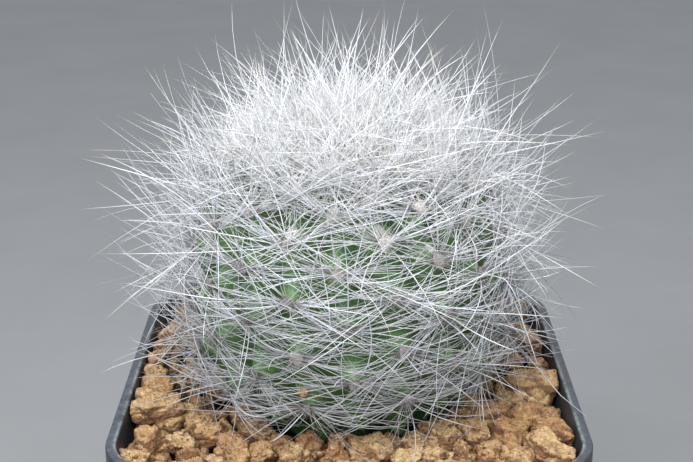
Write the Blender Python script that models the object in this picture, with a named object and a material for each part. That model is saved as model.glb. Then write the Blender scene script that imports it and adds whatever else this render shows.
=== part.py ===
"""Globular cactus (Eriosyce) with white interlacing spines, in a square plastic pot.

Metres, +Z up. The origin is the middle of the pot's flat underside, and the front is -Y. The plant
is built about the middle of the pot's rim plane.
"""
import math
import random

import bmesh
import bpy
import numpy as np
from mathutils import Vector
from mathutils.bvhtree import BVHTree
from mathutils.geometry import delaunay_2d_cdt

# Driving dimensions of the pot
POT_HEIGHT = 0.080
RIM_SIZE = 0.090
RIM_CORNER = 0.014
RIM_WIDTH = 0.0020
RIM_ROUND = 0.0005
BASE_SIZE = 0.064
BASE_CORNER = 0.010
BASE_ROUND = 0.0015
WALL = 0.0013
FLOOR = 0.0018
COLLAR_HEIGHT = 0.010
DRAIN_RADIUS = 0.004
DRAIN_OFFSET = 0.017
CORNER_STEPS = 5

# Driving dimensions of the soil, whose granules are relief. Drops are under the rim.
SOIL_EDGE_DROP = 0.0066
CREVICE_DROP = (0.0062, 0.0074)
GRANULE_DROP = (0.0020, 0.0038)
GRANULE_SPACING = 0.0070
GRANULE_SHIFT = 0.20
GRANULE_WIDTH = (0.34, 0.44)
GRANULE_SHOULDER = (0.0002, 0.0016)
GRANULE_SIDES = 6
GRANULE_UNEVEN = 0.2
GRANULE_TILT = 0.0006
GRANULE_WALL_ROOM = 0.00245
GRANULE_STEM_ROOM = 0.0015
SOIL_SLOPE = 0.0006
SOIL_MARGIN = 0.0007
SOIL_EDGE_ROOM = 0.0005
HOLE_SIDES = 28
HOLE_STEPS = 6
HOLE_ROOM = 0.0006
DRAWING_LIMIT = 1e-7
SOIL_SEED = 5

# Driving dimensions of the stem, with heights from the pot's rim plane
STEM_RADIUS = 0.031
STEM_MIDDLE = 0.018
STEM_RISE = 0.031
STEM_SINK = 0.030
UPPER_POWER = 2.8
LOWER_POWER = 2.4
RIBS = 20
RIB_STEP = 9
RIB_LEAN = math.radians(2.7)
RIB_PHASE = math.radians(233.6)
AREOLE_AREA = (3.4e-6, 100.6e-6)
AREOLE_SPREAD = 0.044
FURROW = 0.0034
NOTCH = 0.0016
COLUMNS_PER_RIB = 3
ROWS_PER_TUBERCLE = 2.5
SMOOTH_CROWN = 0.009
SMOOTH_BELOW = (-0.010, -0.004)
BURIED_RINGS = (0.3, 0.75)
OUTLINE_STEPS = 240
NORMAL_STEP = 0.0004

# Driving dimensions of the root
ROOT_RADIUS = 0.0062
ROOT_LENGTH = 0.046
ROOT_TIP = 0.0012
ROOT_POWER = 0.8
ROOT_SIDES = 10
ROOT_STEPS = 5

# Driving dimensions of the areoles, numbered from the youngest at the top. A cushion's rings are
# sides, radius and height over its seat.
YOUNGEST = 3
FIRST_AREOLE = 27
LOWEST_AREOLE = 0.0035
BESIDE = (9, 11)
CUSHION = ((7, 0.00095, 0.0), (7, 0.00072, 0.0006), (3, 0.00030, 0.0009))
CUSHION_HEART = 0.00024
CUSHION_PROBES = 8
SPINY_SLOPE = 0.1
WOOL_RADIUS = 0.0085
WOOL_HEIGHT = 0.0022
WOOL_SIDES = 14
WOOL_RINGS = ((1.0, 0.2), (0.6, 0.8))
WOOL_UNDERSIDE = 0.97
WOOL_UNEVEN = 0.01
HEART_IN_WOOL = (0.85, 0.35)

# Driving dimensions of the spines. Bearings run anticlockwise from the areole's right, in degrees,
# and lifts are off the stem's surface.
SIDE_BEARINGS = (-24, 3, 29, 93, 151, 177, 204, 268)
SIDE_TURN = 9
SIDE_LIFT = (8, 26)
SIDE_LENGTH = (0.012, 0.019)
CENTRAL_BEARINGS = (55, 125)
CENTRAL_TURN = 35
CENTRAL_LIFT = (44, 68)
CENTRAL_LENGTH = (0.018, 0.025)
CENTRAL_SAG = (0.0008, 0.0024)
CROWN_SLOPE = 0.8
CROWN_SPINES = 6
CROWN_TURN = 28
CROWN_LIFT = (40, 80)
CROWN_LENGTH = (0.014, 0.025)
WOOL_SPINES = 3
SPINE_RADIUS = 0.00028
MIDDLE_SHARE = 0.7
STRAIGHT = 0.00015
SHORTEST = 0.004
SHORTENING = 0.985
SPINE_REACH = 0.052
SPINE_TOP = 0.074
SPINE_FLOOR = 0.0006
SPINE_CLEARANCE = 0.00045
PROBED_SHARES = (0.3, 0.45, 0.6, 0.75, 0.9, 1.0)
SPINE_ROOM = 1.25
LEAST_SPREAD = 1e-18
ROOT_ZONE = 0.0016
MOST_ROOT = 0.9
TIE_REACH = 0.4
SWING = math.radians(5)
RAISE = math.radians(3)
ASIDE = math.radians(1.5)
NUDGE = math.radians(0.7)
MOST_TRIES = 40
MOST_DRAWS = 30
SPINE_SEED = 11
SPINE_SOLVER = "MANIFOLD"

# Space between pieces that touch
GAP = 0.0003


def clear_scene():
    for item in list(bpy.data.objects):
        bpy.data.objects.remove(item)


def material(name, colour, roughness):
    made = bpy.data.materials.new(name)
    made.use_nodes = True
    shader = made.node_tree.nodes["Principled BSDF"]
    shader.inputs["Base Color"].default_value = (*colour, 1.0)
    shader.inputs["Roughness"].default_value = roughness
    shader.inputs["Metallic"].default_value = 0.0
    made.diffuse_color = (*colour, 1.0)
    return made


def add_object(name, shape, look=None, parent=None):
    """An object made from a bmesh, which is used up."""
    mesh = bpy.data.meshes.new(name)
    shape.to_mesh(mesh)
    shape.free()
    item = bpy.data.objects.new(name, mesh)
    bpy.context.scene.collection.objects.link(item)
    item.parent = parent
    if look:
        mesh.materials.append(look)
    return item


def add_empty(name, location, parent=None):
    item = bpy.data.objects.new(name, None)
    item.empty_display_size = 0.02
    item.location = location
    item.parent = parent
    bpy.context.scene.collection.objects.link(item)
    return item


def apply_boolean(item, operation, tool, solver="EXACT"):
    """Applies a Boolean with an object, or with all the objects of a collection, and removes them."""
    change = item.modifiers.new(operation.lower(), "BOOLEAN")
    change.operation = operation
    change.solver = solver
    if isinstance(tool, bpy.types.Collection):
        change.operand_type = "COLLECTION"
        change.collection = tool
        used = list(tool.objects)
    else:
        change.object = tool
        used = [tool]
    bpy.context.view_layer.update()
    graph = bpy.context.evaluated_depsgraph_get()
    result = bpy.data.meshes.new_from_object(item.evaluated_get(graph))
    item.modifiers.clear()
    item.data = result
    for piece in used:
        bpy.data.objects.remove(piece)
    if isinstance(tool, bpy.types.Collection):
        bpy.data.collections.remove(tool)


def keep_main_body(item):
    """Drops loose scraps and sealed hollows: all but the body with the most faces."""
    shape = bmesh.new()
    shape.from_mesh(item.data)
    unseen = set(shape.faces)
    bodies = []
    while unseen:
        body = [unseen.pop()]
        for face in body:
            for edge in face.edges:
                for near in edge.link_faces:
                    if near in unseen:
                        unseen.remove(near)
                        body.append(near)
        bodies.append(body)
    main = max(bodies, key=len)
    scraps = [face for body in bodies if body is not main for face in body]
    bmesh.ops.delete(shape, geom=scraps, context="FACES")
    shape.to_mesh(item.data)
    shape.free()


def smooth(low, high, value):
    """Rises from 0 at low to 1 at high, level at both ends."""
    share = min(1.0, max(0.0, (value - low) / (high - low)))
    return share * share * (3 - 2 * share)


# Pot and soil

def rounded_square(width, corner, height):
    """Points of a square with round corners, anticlockwise seen from above."""
    middle = width / 2 - corner
    points = []
    for quarter, (side_x, side_y) in enumerate(((1, 1), (-1, 1), (-1, -1), (1, -1))):
        for step in range(CORNER_STEPS + 1):
            angle = math.pi / 2 * (quarter + step / CORNER_STEPS)
            x = side_x * middle + corner * math.cos(angle)
            y = side_y * middle + corner * math.sin(angle)
            points.append((x, y, height))
    return points


def circle(radius, height, sides):
    """Points of a level circle about the axis, anticlockwise seen from above."""
    angles = [math.tau * side / sides for side in range(sides)]
    return [(radius * math.cos(angle), radius * math.sin(angle), height) for angle in angles]


def bridge(shape, below, above):
    """Four-sided faces between two rings with as many corners."""
    for index in range(len(below)):
        following = (index + 1) % len(below)
        shape.faces.new((below[index], below[following], above[following], above[index]))


def loft(rings):
    """A closed solid through rings with as many points each, with a flat face at both ends."""
    shape = bmesh.new()
    loops = [[shape.verts.new(point) for point in ring] for ring in rings]
    for below, above in zip(loops, loops[1:]):
        bridge(shape, below, above)
    shape.faces.new(reversed(loops[0]))
    shape.faces.new(loops[-1])
    bmesh.ops.recalc_face_normals(shape, faces=shape.faces)
    return shape


def draw_out_cap(shape, facing, level):
    """Draws the flat face that ends a loft, and faces up (1) or down (-1), out to a point on the axis."""
    cap = next(face for face in shape.faces if len(face.verts) > 4 and face.normal.z * facing > 0)
    bmesh.ops.poke(shape, faces=[cap])["verts"][0].co = (0.0, 0.0, level)


def inner_size(height):
    """Width and corner radius inside the pot's walls."""
    share = height / POT_HEIGHT
    low = BASE_SIZE - 2 * WALL
    high = RIM_SIZE - 2 * RIM_WIDTH
    corner = (BASE_CORNER - WALL) * (1 - share) + (RIM_CORNER - RIM_WIDTH) * share
    return low + (high - low) * share, corner


def pot_ring(height, outward):
    """The inside of the pot at a height, grown outward."""
    width, corner = inner_size(height)
    return rounded_square(width + 2 * outward, corner + outward, height)


def build_pot(parent):
    collar = POT_HEIGHT - COLLAR_HEIGHT
    rings = [
        rounded_square(BASE_SIZE - 2 * BASE_ROUND, BASE_CORNER - BASE_ROUND, 0.0),
        pot_ring(BASE_ROUND, WALL),
        pot_ring(collar - RIM_ROUND, WALL),
        rounded_square(RIM_SIZE - 2 * RIM_ROUND, RIM_CORNER - RIM_ROUND, collar),
        rounded_square(RIM_SIZE, RIM_CORNER, collar + RIM_ROUND),
        rounded_square(RIM_SIZE, RIM_CORNER, POT_HEIGHT - RIM_ROUND),
        rounded_square(RIM_SIZE - 2 * RIM_ROUND, RIM_CORNER - RIM_ROUND, POT_HEIGHT),
        pot_ring(POT_HEIGHT, RIM_ROUND),
        pot_ring(POT_HEIGHT - RIM_ROUND, 0.0),
        pot_ring(FLOOR, 0.0),
    ]
    look = material("dark blue-grey plastic", (0.030, 0.036, 0.042), 0.45)
    pot = add_object("pot", loft(rings), look, parent)
    for side_x in (-1, 1):
        for side_y in (-1, 1):
            drill = bmesh.new()
            bmesh.ops.create_cone(drill, cap_ends=True, segments=12, radius1=DRAIN_RADIUS,
                                  radius2=DRAIN_RADIUS, depth=4 * FLOOR)
            place = (side_x * DRAIN_OFFSET, side_y * DRAIN_OFFSET, 0.0)
            bmesh.ops.translate(drill, vec=place, verts=drill.verts)
            apply_boolean(pot, "DIFFERENCE", add_object("drain drill", drill))
    return pot


def granule_centres(chance):
    """Places on a loose triangular grid between the stem and the pot's walls."""
    half = inner_size(POT_HEIGHT)[0] / 2
    row_step = GRANULE_SPACING * math.sqrt(3) / 2
    rows = int(half / row_step) + 1
    nearest = radius_at_height(-SOIL_EDGE_DROP) + GRANULE_STEM_ROOM
    centres = []
    for row in range(-rows, rows + 1):
        for column in range(-rows, rows + 1):
            shift = chance.uniform(-GRANULE_SHIFT, GRANULE_SHIFT)
            x = (column + (row % 2) / 2 + shift) * GRANULE_SPACING
            y = (row + chance.uniform(-GRANULE_SHIFT, GRANULE_SHIFT)) * row_step
            if wall_distance(x, y) > GRANULE_WALL_ROOM and math.hypot(x, y) > nearest:
                centres.append(Vector((x, y)))
    return centres


def wall_distance(x, y):
    """How far a place is inside the soil's outer edge, which has round corners."""
    width, corner = inner_size(POT_HEIGHT - SOIL_EDGE_DROP)
    straight = width / 2 - corner
    over_x = abs(x) - straight
    over_y = abs(y) - straight
    in_corner = over_x > 0 and over_y > 0
    return corner - GAP - (math.hypot(over_x, over_y) if in_corner else max(over_x, over_y))


def circumcentre(a, b, c):
    """The place as far from each of three others."""
    ab = b - a
    ac = c - a
    twice = 2 * (ab.x * ac.y - ab.y * ac.x)
    x = (ac.y * ab.length_squared - ab.y * ac.length_squared) / twice
    y = (ab.x * ac.length_squared - ac.x * ab.length_squared) / twice
    return a + Vector((x, y))


def granule_points(chance, centres):
    """Points of each granule's top and shoulders, and of the crevices between three neighbours."""
    points = []
    half = inner_size(POT_HEIGHT)[0] / 2
    for centre in centres:
        top = -chance.uniform(*GRANULE_DROP) + SOIL_SLOPE * (centre.x - centre.y) / half
        aside = Vector((chance.uniform(-1, 1), chance.uniform(-1, 1))) * GRANULE_TILT
        points.append((*(centre + aside), top))
        turn = chance.uniform(0, math.tau)
        for side in range(GRANULE_SIDES):
            angle = turn + math.tau * (side + chance.uniform(-GRANULE_UNEVEN, GRANULE_UNEVEN)) / GRANULE_SIDES
            reach = GRANULE_SPACING * chance.uniform(*GRANULE_WIDTH)
            x = centre.x + reach * math.cos(angle)
            y = centre.y + reach * math.sin(angle)
            points.append((x, y, top - chance.uniform(*GRANULE_SHOULDER)))
    triangles = delaunay_2d_cdt(centres, [], [], 0, DRAWING_LIMIT)[2]
    for corners in triangles:
        crevice = circumcentre(*(centres[corner] for corner in corners))
        nearest = min((crevice - centre).length for centre in centres)
        if nearest < GRANULE_SPACING:
            points.append((crevice.x, crevice.y, -chance.uniform(*CREVICE_DROP)))
    return points


def under_stem(x, y, z):
    """The height z, or a lower one where the stem's underside would be in the way."""
    low = len(OUTLINE_HEIGHT) // 2
    reach = max(0.0, math.hypot(x, y) - SOIL_MARGIN)
    ceiling = np.interp(-reach, -OUTLINE_RADIUS[low:], OUTLINE_HEIGHT[low:])
    return z if reach > STEM_RADIUS else min(z, float(ceiling) - GAP)


def turned(profile, sides):
    """A closed solid of revolution about the axis from (radius, height) pairs."""
    return loft([circle(radius, height, sides) for radius, height in profile])


def hole_rings():
    """Circles down the plain hole for the stem and its root, widest first, clear of both all round."""
    low = len(ALONG) // 2
    first = np.interp(SOIL_EDGE_DROP, -OUTLINE_HEIGHT[low:], ALONG[low:])
    last = np.interp(-ROOT_RADIUS - 3 * GAP, -OUTLINE_RADIUS[low:], ALONG[low:])
    profile = []
    for along in np.linspace(first, last, HOLE_STEPS):
        radius, height, out, up = outline_along(along)
        profile.append((radius + HOLE_ROOM * out, height + HOLE_ROOM * up))
    root = root_profile()[::-1]
    profile += [(radius + GAP, height) for radius, height in root]
    profile.append((ROOT_TIP + GAP, root[-1][1] - GAP))
    grown = 1 / math.cos(math.pi / HOLE_SIDES)
    return [circle(radius * grown, POT_HEIGHT + height, HOLE_SIDES) for radius, height in profile]


def relief_points(chance, edge):
    """The granules' points between the hole's edge and the pot's walls, kept under the stem's sides."""
    nearest = max(Vector(point).xy.length for point in edge) + SOIL_EDGE_ROOM
    points = []
    for x, y, z in granule_points(chance, granule_centres(chance)):
        if wall_distance(x, y) > SOIL_EDGE_ROOM and math.hypot(x, y) > nearest:
            points.append((x, y, POT_HEIGHT + under_stem(x, y, z)))
    return points


def relief_triangles(points, outer_count, inner_count):
    """Corners of the surface through the points, the first of which are its outer and inner edges."""
    edges = [(k, (k + 1) % outer_count) for k in range(outer_count)]
    edges += [(outer_count + k, outer_count + (k + 1) % inner_count) for k in range(inner_count)]
    flat = [Vector(point).xy for point in points]
    _, _, triangles, origins, _, _ = delaunay_2d_cdt(flat, edges, [], 1, DRAWING_LIMIT)
    inner = range(outer_count, outer_count + inner_count)
    found = [[origins[corner][0] for corner in corners] for corners in triangles]
    return [corners for corners in found if not all(corner in inner for corner in corners)]


def build_soil(parent):
    """The growing mix: a block with granules as relief on its top, and the plant's hole."""
    edge = pot_ring(POT_HEIGHT - SOIL_EDGE_DROP, -GAP)
    hole = hole_rings()
    points = edge + hole[0] + relief_points(random.Random(SOIL_SEED), hole[0])
    shape = bmesh.new()
    verts = [shape.verts.new(point) for point in points]
    for corners in relief_triangles(points, len(edge), HOLE_SIDES):
        shape.faces.new([verts[corner] for corner in corners])
    floor = [shape.verts.new(point) for point in pot_ring(FLOOR + GAP, -GAP)]
    bridge(shape, verts[:len(edge)], floor)
    shape.faces.new(floor)
    above = verts[len(edge):len(edge) + HOLE_SIDES]
    for ring in hole[1:]:
        below = [shape.verts.new(point) for point in ring]
        bridge(shape, above, below)
        above = below
    shape.faces.new(above)
    bmesh.ops.recalc_face_normals(shape, faces=shape.faces)
    return add_object("soil", shape, material("ochre granules", (0.46, 0.25, 0.10), 0.95), parent)


# Plant

def stem_profile():
    """Arc length from the top, radius and height along the stem's outline, over the tubercles' tips."""
    turn = np.linspace(0, math.pi / 2, OUTLINE_STEPS)
    upper_radius = STEM_RADIUS * np.sin(turn) ** (2 / UPPER_POWER)
    upper_height = STEM_MIDDLE + STEM_RISE * np.cos(turn) ** (2 / UPPER_POWER)
    lower_radius = STEM_RADIUS * np.cos(turn[1:]) ** (2 / LOWER_POWER)
    lower_height = STEM_MIDDLE - STEM_SINK * np.sin(turn[1:]) ** (2 / LOWER_POWER)
    radius = np.concatenate([upper_radius, lower_radius])
    height = np.concatenate([upper_height, lower_height])
    length = np.concatenate([[0], np.cumsum(np.hypot(np.diff(radius), np.diff(height)))])
    return length, radius, height


ALONG, OUTLINE_RADIUS, OUTLINE_HEIGHT = stem_profile()


def areole_count(along):
    """How many areoles lie between the top and each arc length: they spread as the stem grows."""
    share = np.clip(along / AREOLE_SPREAD, 0, 1)
    area = AREOLE_AREA[0] + (AREOLE_AREA[1] - AREOLE_AREA[0]) * share ** 2 * (3 - 2 * share)
    rate = math.tau * OUTLINE_RADIUS / area
    return np.concatenate([[0], np.cumsum((rate[1:] + rate[:-1]) / 2 * np.diff(along))])


COUNT = areole_count(ALONG)


def radius_at_height(height):
    """Radius of the lower stem's outline."""
    low = len(OUTLINE_HEIGHT) // 2
    return float(np.interp(-height, -OUTLINE_HEIGHT[low:], OUTLINE_RADIUS[low:]))


def outline_along(along):
    """Radius, height, and the outward normal's level and upward parts, at an arc length from the top."""
    ends = np.array([along - NORMAL_STEP, along + NORMAL_STEP])
    run = float(np.diff(np.interp(ends, ALONG, OUTLINE_RADIUS))[0])
    fall = -float(np.diff(np.interp(ends, ALONG, OUTLINE_HEIGHT))[0])
    size = math.hypot(run, fall)
    radius = float(np.interp(along, ALONG, OUTLINE_RADIUS))
    return radius, float(np.interp(along, ALONG, OUTLINE_HEIGHT)), fall / size, run / size


def outline_at(count):
    """The same, with the arc length first, where the given number of areoles lie above."""
    along = float(np.interp(count, COUNT, ALONG))
    return along, *outline_along(along)


def azimuth_of(rib, count):
    """Direction of a rib, which leans as it goes down. Ribs need not be whole numbers."""
    return RIB_PHASE + math.tau * rib / RIBS + RIB_LEAN * count / RIBS


def relief(rib, count, along, height):
    """Depth under the outline: none at an areole, a notch between two, and a furrow between ribs.

    RIB_STEP squared is one more than a multiple of RIBS, so rib r holds areole r * RIB_STEP.
    """
    crest = math.cos(math.pi * (rib - round(rib))) ** 2
    phase = (count - RIB_STEP * round(rib)) / RIBS
    bump = 0.5 + 0.5 * math.cos(math.tau * phase)
    depth = FURROW * (1 - crest) + NOTCH * crest * (1 - bump)
    return depth * smooth(0.0, SMOOTH_CROWN, along) * smooth(*SMOOTH_BELOW, height)


def stem_point(rib, count):
    along, radius, height, out, up = outline_at(count)
    depth = relief(rib, count, along, height)
    azimuth = azimuth_of(rib, count)
    radius -= depth * out
    return (radius * math.cos(azimuth), radius * math.sin(azimuth), height - depth * up)


def build_stem(parent):
    """The ribbed stem, whose columns of points lean with the ribs."""
    columns = RIBS * COLUMNS_PER_RIB
    buried = float(np.interp(SOIL_EDGE_DROP, -OUTLINE_HEIGHT, COUNT))
    counts = list(np.arange(FIRST_AREOLE - RIBS / 3, buried, RIBS / ROWS_PER_TUBERCLE))
    counts += [buried + (COUNT[-1] - buried) * share for share in BURIED_RINGS]
    ribs = [column / COLUMNS_PER_RIB for column in range(columns)]
    shape = loft([[stem_point(rib, count) for rib in ribs] for count in reversed(counts)])
    draw_out_cap(shape, -1, OUTLINE_HEIGHT[-1])
    draw_out_cap(shape, 1, OUTLINE_HEIGHT[0])
    look = material("green stem", (0.085, 0.20, 0.055), 0.55)
    stem = add_object("stem", shape, look, parent)
    stem.data.shade_smooth()
    return stem


def root_profile():
    """Radius and height along the taproot, from its tip up to just under the stem."""
    top = STEM_MIDDLE - STEM_SINK - GAP
    profile = []
    for share in np.linspace(0, 1, ROOT_STEPS):
        radius = ROOT_TIP + (ROOT_RADIUS - ROOT_TIP) * share ** ROOT_POWER
        profile.append((radius, top - ROOT_LENGTH * (1 - share)))
    return profile


def build_root(parent):
    look = material("brown root", (0.16, 0.09, 0.045), 0.85)
    root = add_object("root", turned(root_profile(), ROOT_SIDES), look, parent)
    root.data.shade_smooth()
    return root


# Spines

class Areole:
    """A woolly cushion on a tubercle, with the directions that its spines are set by."""

    def __init__(self, number, surface):
        _, radius, height, out, up = outline_at(number)
        azimuth = azimuth_of(RIB_STEP * number % RIBS, number)
        self.sideways = Vector((-math.sin(azimuth), math.cos(azimuth), 0.0))
        self.outward = Vector((out * math.cos(azimuth), out * math.sin(azimuth), up))
        self.upward = self.outward.cross(self.sideways)
        tip = Vector((radius * math.cos(azimuth), radius * math.sin(azimuth), height))
        self.seat = tip + self.outward * (self.highest_stem(tip, surface) + GAP)
        self.heart = self.seat + self.outward * CUSHION_HEART

    def sink_into_wool(self):
        """Moves the heart of one of the youngest areoles into the woolly crown."""
        inward, rise = HEART_IN_WOOL
        self.heart.xy *= inward
        self.heart.z = OUTLINE_HEIGHT[0] + GAP + rise * WOOL_HEIGHT

    def direction(self, bearing, lift=0.0):
        """A direction at a bearing round the outward axis, from the right, lifted off the surface."""
        flat = self.sideways * math.cos(bearing) + self.upward * math.sin(bearing)
        return flat * math.cos(lift) + self.outward * math.sin(lift)

    def highest_stem(self, tip, surface):
        """How far the stem stands over the tip's own level, under any part of the cushion."""
        edge = CUSHION[0][1]
        asides = [self.direction(math.tau * step / CUSHION_PROBES) * edge for step in range(CUSHION_PROBES)]
        levels = []
        for aside in [Vector(), *asides]:
            above = tip + aside + self.outward * STEM_RADIUS
            hit = surface.ray_cast(above, -self.outward)[0]
            levels.append((hit - tip).dot(self.outward))
        return max(levels)


def cushion(areole):
    """The areole's woolly dome, closed below, from rings of points that narrow upwards."""
    shape = bmesh.new()
    for level, (sides, radius, rise) in enumerate(CUSHION):
        for side in range(sides):
            aside = areole.direction((level + 2 * side) * math.pi / sides)
            shape.verts.new(areole.seat + aside * radius + areole.outward * rise)
    bmesh.ops.convex_hull(shape, input=shape.verts)
    return shape


def raise_spine(shape, face, points):
    """Draws a face of the cushion out into a needle that bends halfway and tapers to a point."""
    start, middle, tip = points
    if (middle - start.lerp(tip, 0.5)).length > STRAIGHT:
        face = bmesh.ops.extrude_discrete_faces(shape, faces=[face])["faces"][0]
        for vert in face.verts:
            vert.co = middle + (vert.co - start) * MIDDLE_SHARE
    bmesh.ops.poke(shape, faces=[face])["verts"][0].co = tip


def needle(start, tip, turn=0.0):
    """A separate straight needle with three sides and a closed root."""
    shape = bmesh.new()
    across = (tip - start).orthogonal().normalized()
    other = (tip - start).normalized().cross(across)
    ring = []
    for side in range(3):
        angle = turn + math.tau * side / 3
        aside = across * math.cos(angle) + other * math.sin(angle)
        ring.append(shape.verts.new(start + aside * SPINE_RADIUS))
    shape.faces.new(ring)
    end = shape.verts.new(tip)
    for side in range(3):
        shape.faces.new((ring[(side + 1) % 3], ring[side], end))
    bmesh.ops.recalc_face_normals(shape, faces=shape.faces)
    return shape


def curve_points(start, direction, length, sag):
    """Start, middle and tip of a spine that leaves along a direction and bends by its sag."""
    return start, start + direction * length * 0.5 + sag * 0.25, start + direction * length + sag


def within_reach(start, direction, length, sag):
    """The same spine, shortened until it keeps inside the plant's outline."""
    points = curve_points(start, direction, length, sag)
    while length > SHORTEST and (points[2].xy.length > SPINE_REACH or points[2].z > SPINE_TOP):
        length *= SHORTENING
        points = curve_points(start, direction, length, sag)
    return points


def clears_stem(points, surface):
    """True where a spine keeps off the stem and over the soil and the pot's rim."""
    start, middle, tip = points
    for share in PROBED_SHARES:
        point = start.lerp(middle, share * 2) if share < 0.5 else middle.lerp(tip, share * 2 - 1)
        near, normal, _, distance = surface.find_nearest(point)
        if distance < SPINE_CLEARANCE or (point - near).dot(normal) < 0 or point.z < SPINE_FLOOR:
            return False
    return True


class Crowd:
    """The spines placed so far, as tapering straight stretches, to keep the next one from crossing them."""

    def __init__(self):
        self.starts = np.zeros((0, 3))
        self.ends = np.zeros((0, 3))
        self.sizes = np.zeros((0, 2))

    def stretches(self, points):
        """The two stretches of a spine past its root, each with its half widths at both ends."""
        start, middle, tip = (np.array(point) for point in points)
        rooted = min(MOST_ROOT, ROOT_ZONE / np.linalg.norm(middle - start))
        root = start + (middle - start) * rooted
        waist = MIDDLE_SHARE * SPINE_RADIUS
        return ((root, middle, (SPINE_RADIUS, waist)), (middle, tip, (waist, 0.0)))

    def add(self, points):
        for start, end, sizes in self.stretches(points):
            self.starts = np.vstack([self.starts, start])
            self.ends = np.vstack([self.ends, end])
            self.sizes = np.vstack([self.sizes, sizes])

    def forget_after(self, count):
        self.starts = self.starts[:count]
        self.ends = self.ends[:count]
        self.sizes = self.sizes[:count]

    def has_room(self, points):
        return all(self.stretch_has_room(*stretch) for stretch in self.stretches(points))

    def stretch_has_room(self, start, end, sizes):
        """Compares the gap between this stretch and each of the others with their widths there."""
        if not len(self.starts):
            return True
        along = end - start
        other = self.ends - self.starts
        between = start - self.starts
        aa = along @ along
        bb = np.einsum("ij,ij->i", other, other)
        ab = other @ along
        ac = between @ along
        bc = np.einsum("ij,ij->i", other, between)
        spread = np.maximum(aa * bb - ab * ab, LEAST_SPREAD)
        first = np.clip((ab * bc - ac * bb) / spread, 0, 1)
        second = np.clip((ab * first + bc) / bb, 0, 1)
        first = np.clip((ab * second - ac) / aa, 0, 1)
        gap = np.linalg.norm(between + along * first[:, None] - other * second[:, None], axis=1)
        width = sizes[0] + (sizes[1] - sizes[0]) * first
        other_width = self.sizes[:, 0] + (self.sizes[:, 1] - self.sizes[:, 0]) * second
        return bool((gap > SPINE_ROOM * (width + other_width)).all())


def bent_clear(start, areole, bearing, lift, length, sag, surface, crowd):
    """A spine lifted off the stem, swung up from the soil or turned aside from others, until it is
    clear, or None."""
    side = 1 if math.cos(bearing) >= 0 else -1
    for attempt in range(MOST_TRIES):
        points = within_reach(start, areole.direction(bearing, lift), length, sag)
        if not clears_stem(points, surface):
            if min(point.z for point in points) < SPINE_FLOOR:
                bearing += side * SWING
            else:
                lift += RAISE
        elif not crowd.has_room(points):
            bearing += side * ASIDE * (-1) ** attempt * attempt
            lift += NUDGE
        else:
            crowd.add(points)
            return points
    return None


def side_spines(chance):
    """Bearing, lift, length and sag of the spines of an areole on the stem's side."""
    found = []
    for middle in SIDE_BEARINGS:
        bearing = math.radians(middle + chance.uniform(-SIDE_TURN, SIDE_TURN))
        lift = math.radians(chance.uniform(*SIDE_LIFT))
        found.append((bearing, lift, chance.uniform(*SIDE_LENGTH), 0.0))
    for middle in CENTRAL_BEARINGS:
        bearing = math.radians(middle + chance.uniform(-CENTRAL_TURN, CENTRAL_TURN))
        lift = math.radians(chance.uniform(*CENTRAL_LIFT))
        found.append((bearing, lift, chance.uniform(*CENTRAL_LENGTH), chance.uniform(*CENTRAL_SAG)))
    return found


def crown_spines(chance):
    """Bearing, lift, length and sag of the upright spines of an areole in the crown."""
    found = []
    turn = chance.uniform(0, 360)
    for step in range(CROWN_SPINES):
        middle = turn + 360 * step / CROWN_SPINES
        bearing = math.radians(middle + chance.uniform(-CROWN_TURN, CROWN_TURN))
        lift = math.radians(chance.uniform(*CROWN_LIFT))
        found.append((bearing, lift, chance.uniform(*CROWN_LENGTH), 0.0))
    return found


def crosses_itself(shape):
    """True where two faces that share no corner meet."""
    shape.faces.ensure_lookup_table()
    tree = BVHTree.FromBMesh(shape)
    for first, second in tree.overlap(tree):
        if first < second and not set(shape.faces[first].verts) & set(shape.faces[second].verts):
            return True
    return False


def spiny_areole(areole, tie_tip, surface, crowd, chance):
    """An areole's cushion and spines, drawn again where its own spines would cross."""
    known = len(crowd.starts)
    for _ in range(MOST_DRAWS):
        crowd.forget_after(known)
        wanted = crown_spines(chance) if areole.outward.z > CROWN_SLOPE else side_spines(chance)
        shape = areole_shape(areole, wanted, tie_tip, surface, crowd, chance)
        if not crosses_itself(shape):
            break
    return shape


def areole_shape(areole, wanted, tie_tip, surface, crowd, chance):
    """The cushion with its spines, each drawn out of the face that looks its way."""
    shape = cushion(areole)
    free = [face for face in shape.faces if face.normal.dot(areole.outward) > SPINY_SLOPE]
    if tie_tip:
        towards = (tie_tip - areole.heart).normalized()
        face = max(free, key=lambda each: each.normal.dot(towards))
        free.remove(face)
        start = face.calc_center_median()
        raise_spine(shape, face, (start, start.lerp(tie_tip, 0.5), tie_tip))
    for bearing, lift, length, sag in wanted:
        towards = areole.direction(bearing, lift)
        face = max(free, key=lambda each: each.normal.dot(towards))
        bend = areole.direction(chance.uniform(0, math.tau)) * sag
        root = face.calc_center_median()
        points = bent_clear(root, areole, bearing, lift, length, bend, surface, crowd)
        if points:
            free.remove(face)
            raise_spine(shape, face, points)
    return shape


def needles_in_wool(areole, surface, crowd, chance):
    """The few upright spines of one of the youngest areoles."""
    needles = []
    for bearing, lift, length, _ in crown_spines(chance)[:WOOL_SPINES]:
        points = bent_clear(areole.heart, areole, bearing, lift, length, Vector(), surface, crowd)
        if points:
            needles.append(needle(areole.heart, points[2], chance.uniform(0, math.tau)))
    return needles


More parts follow.
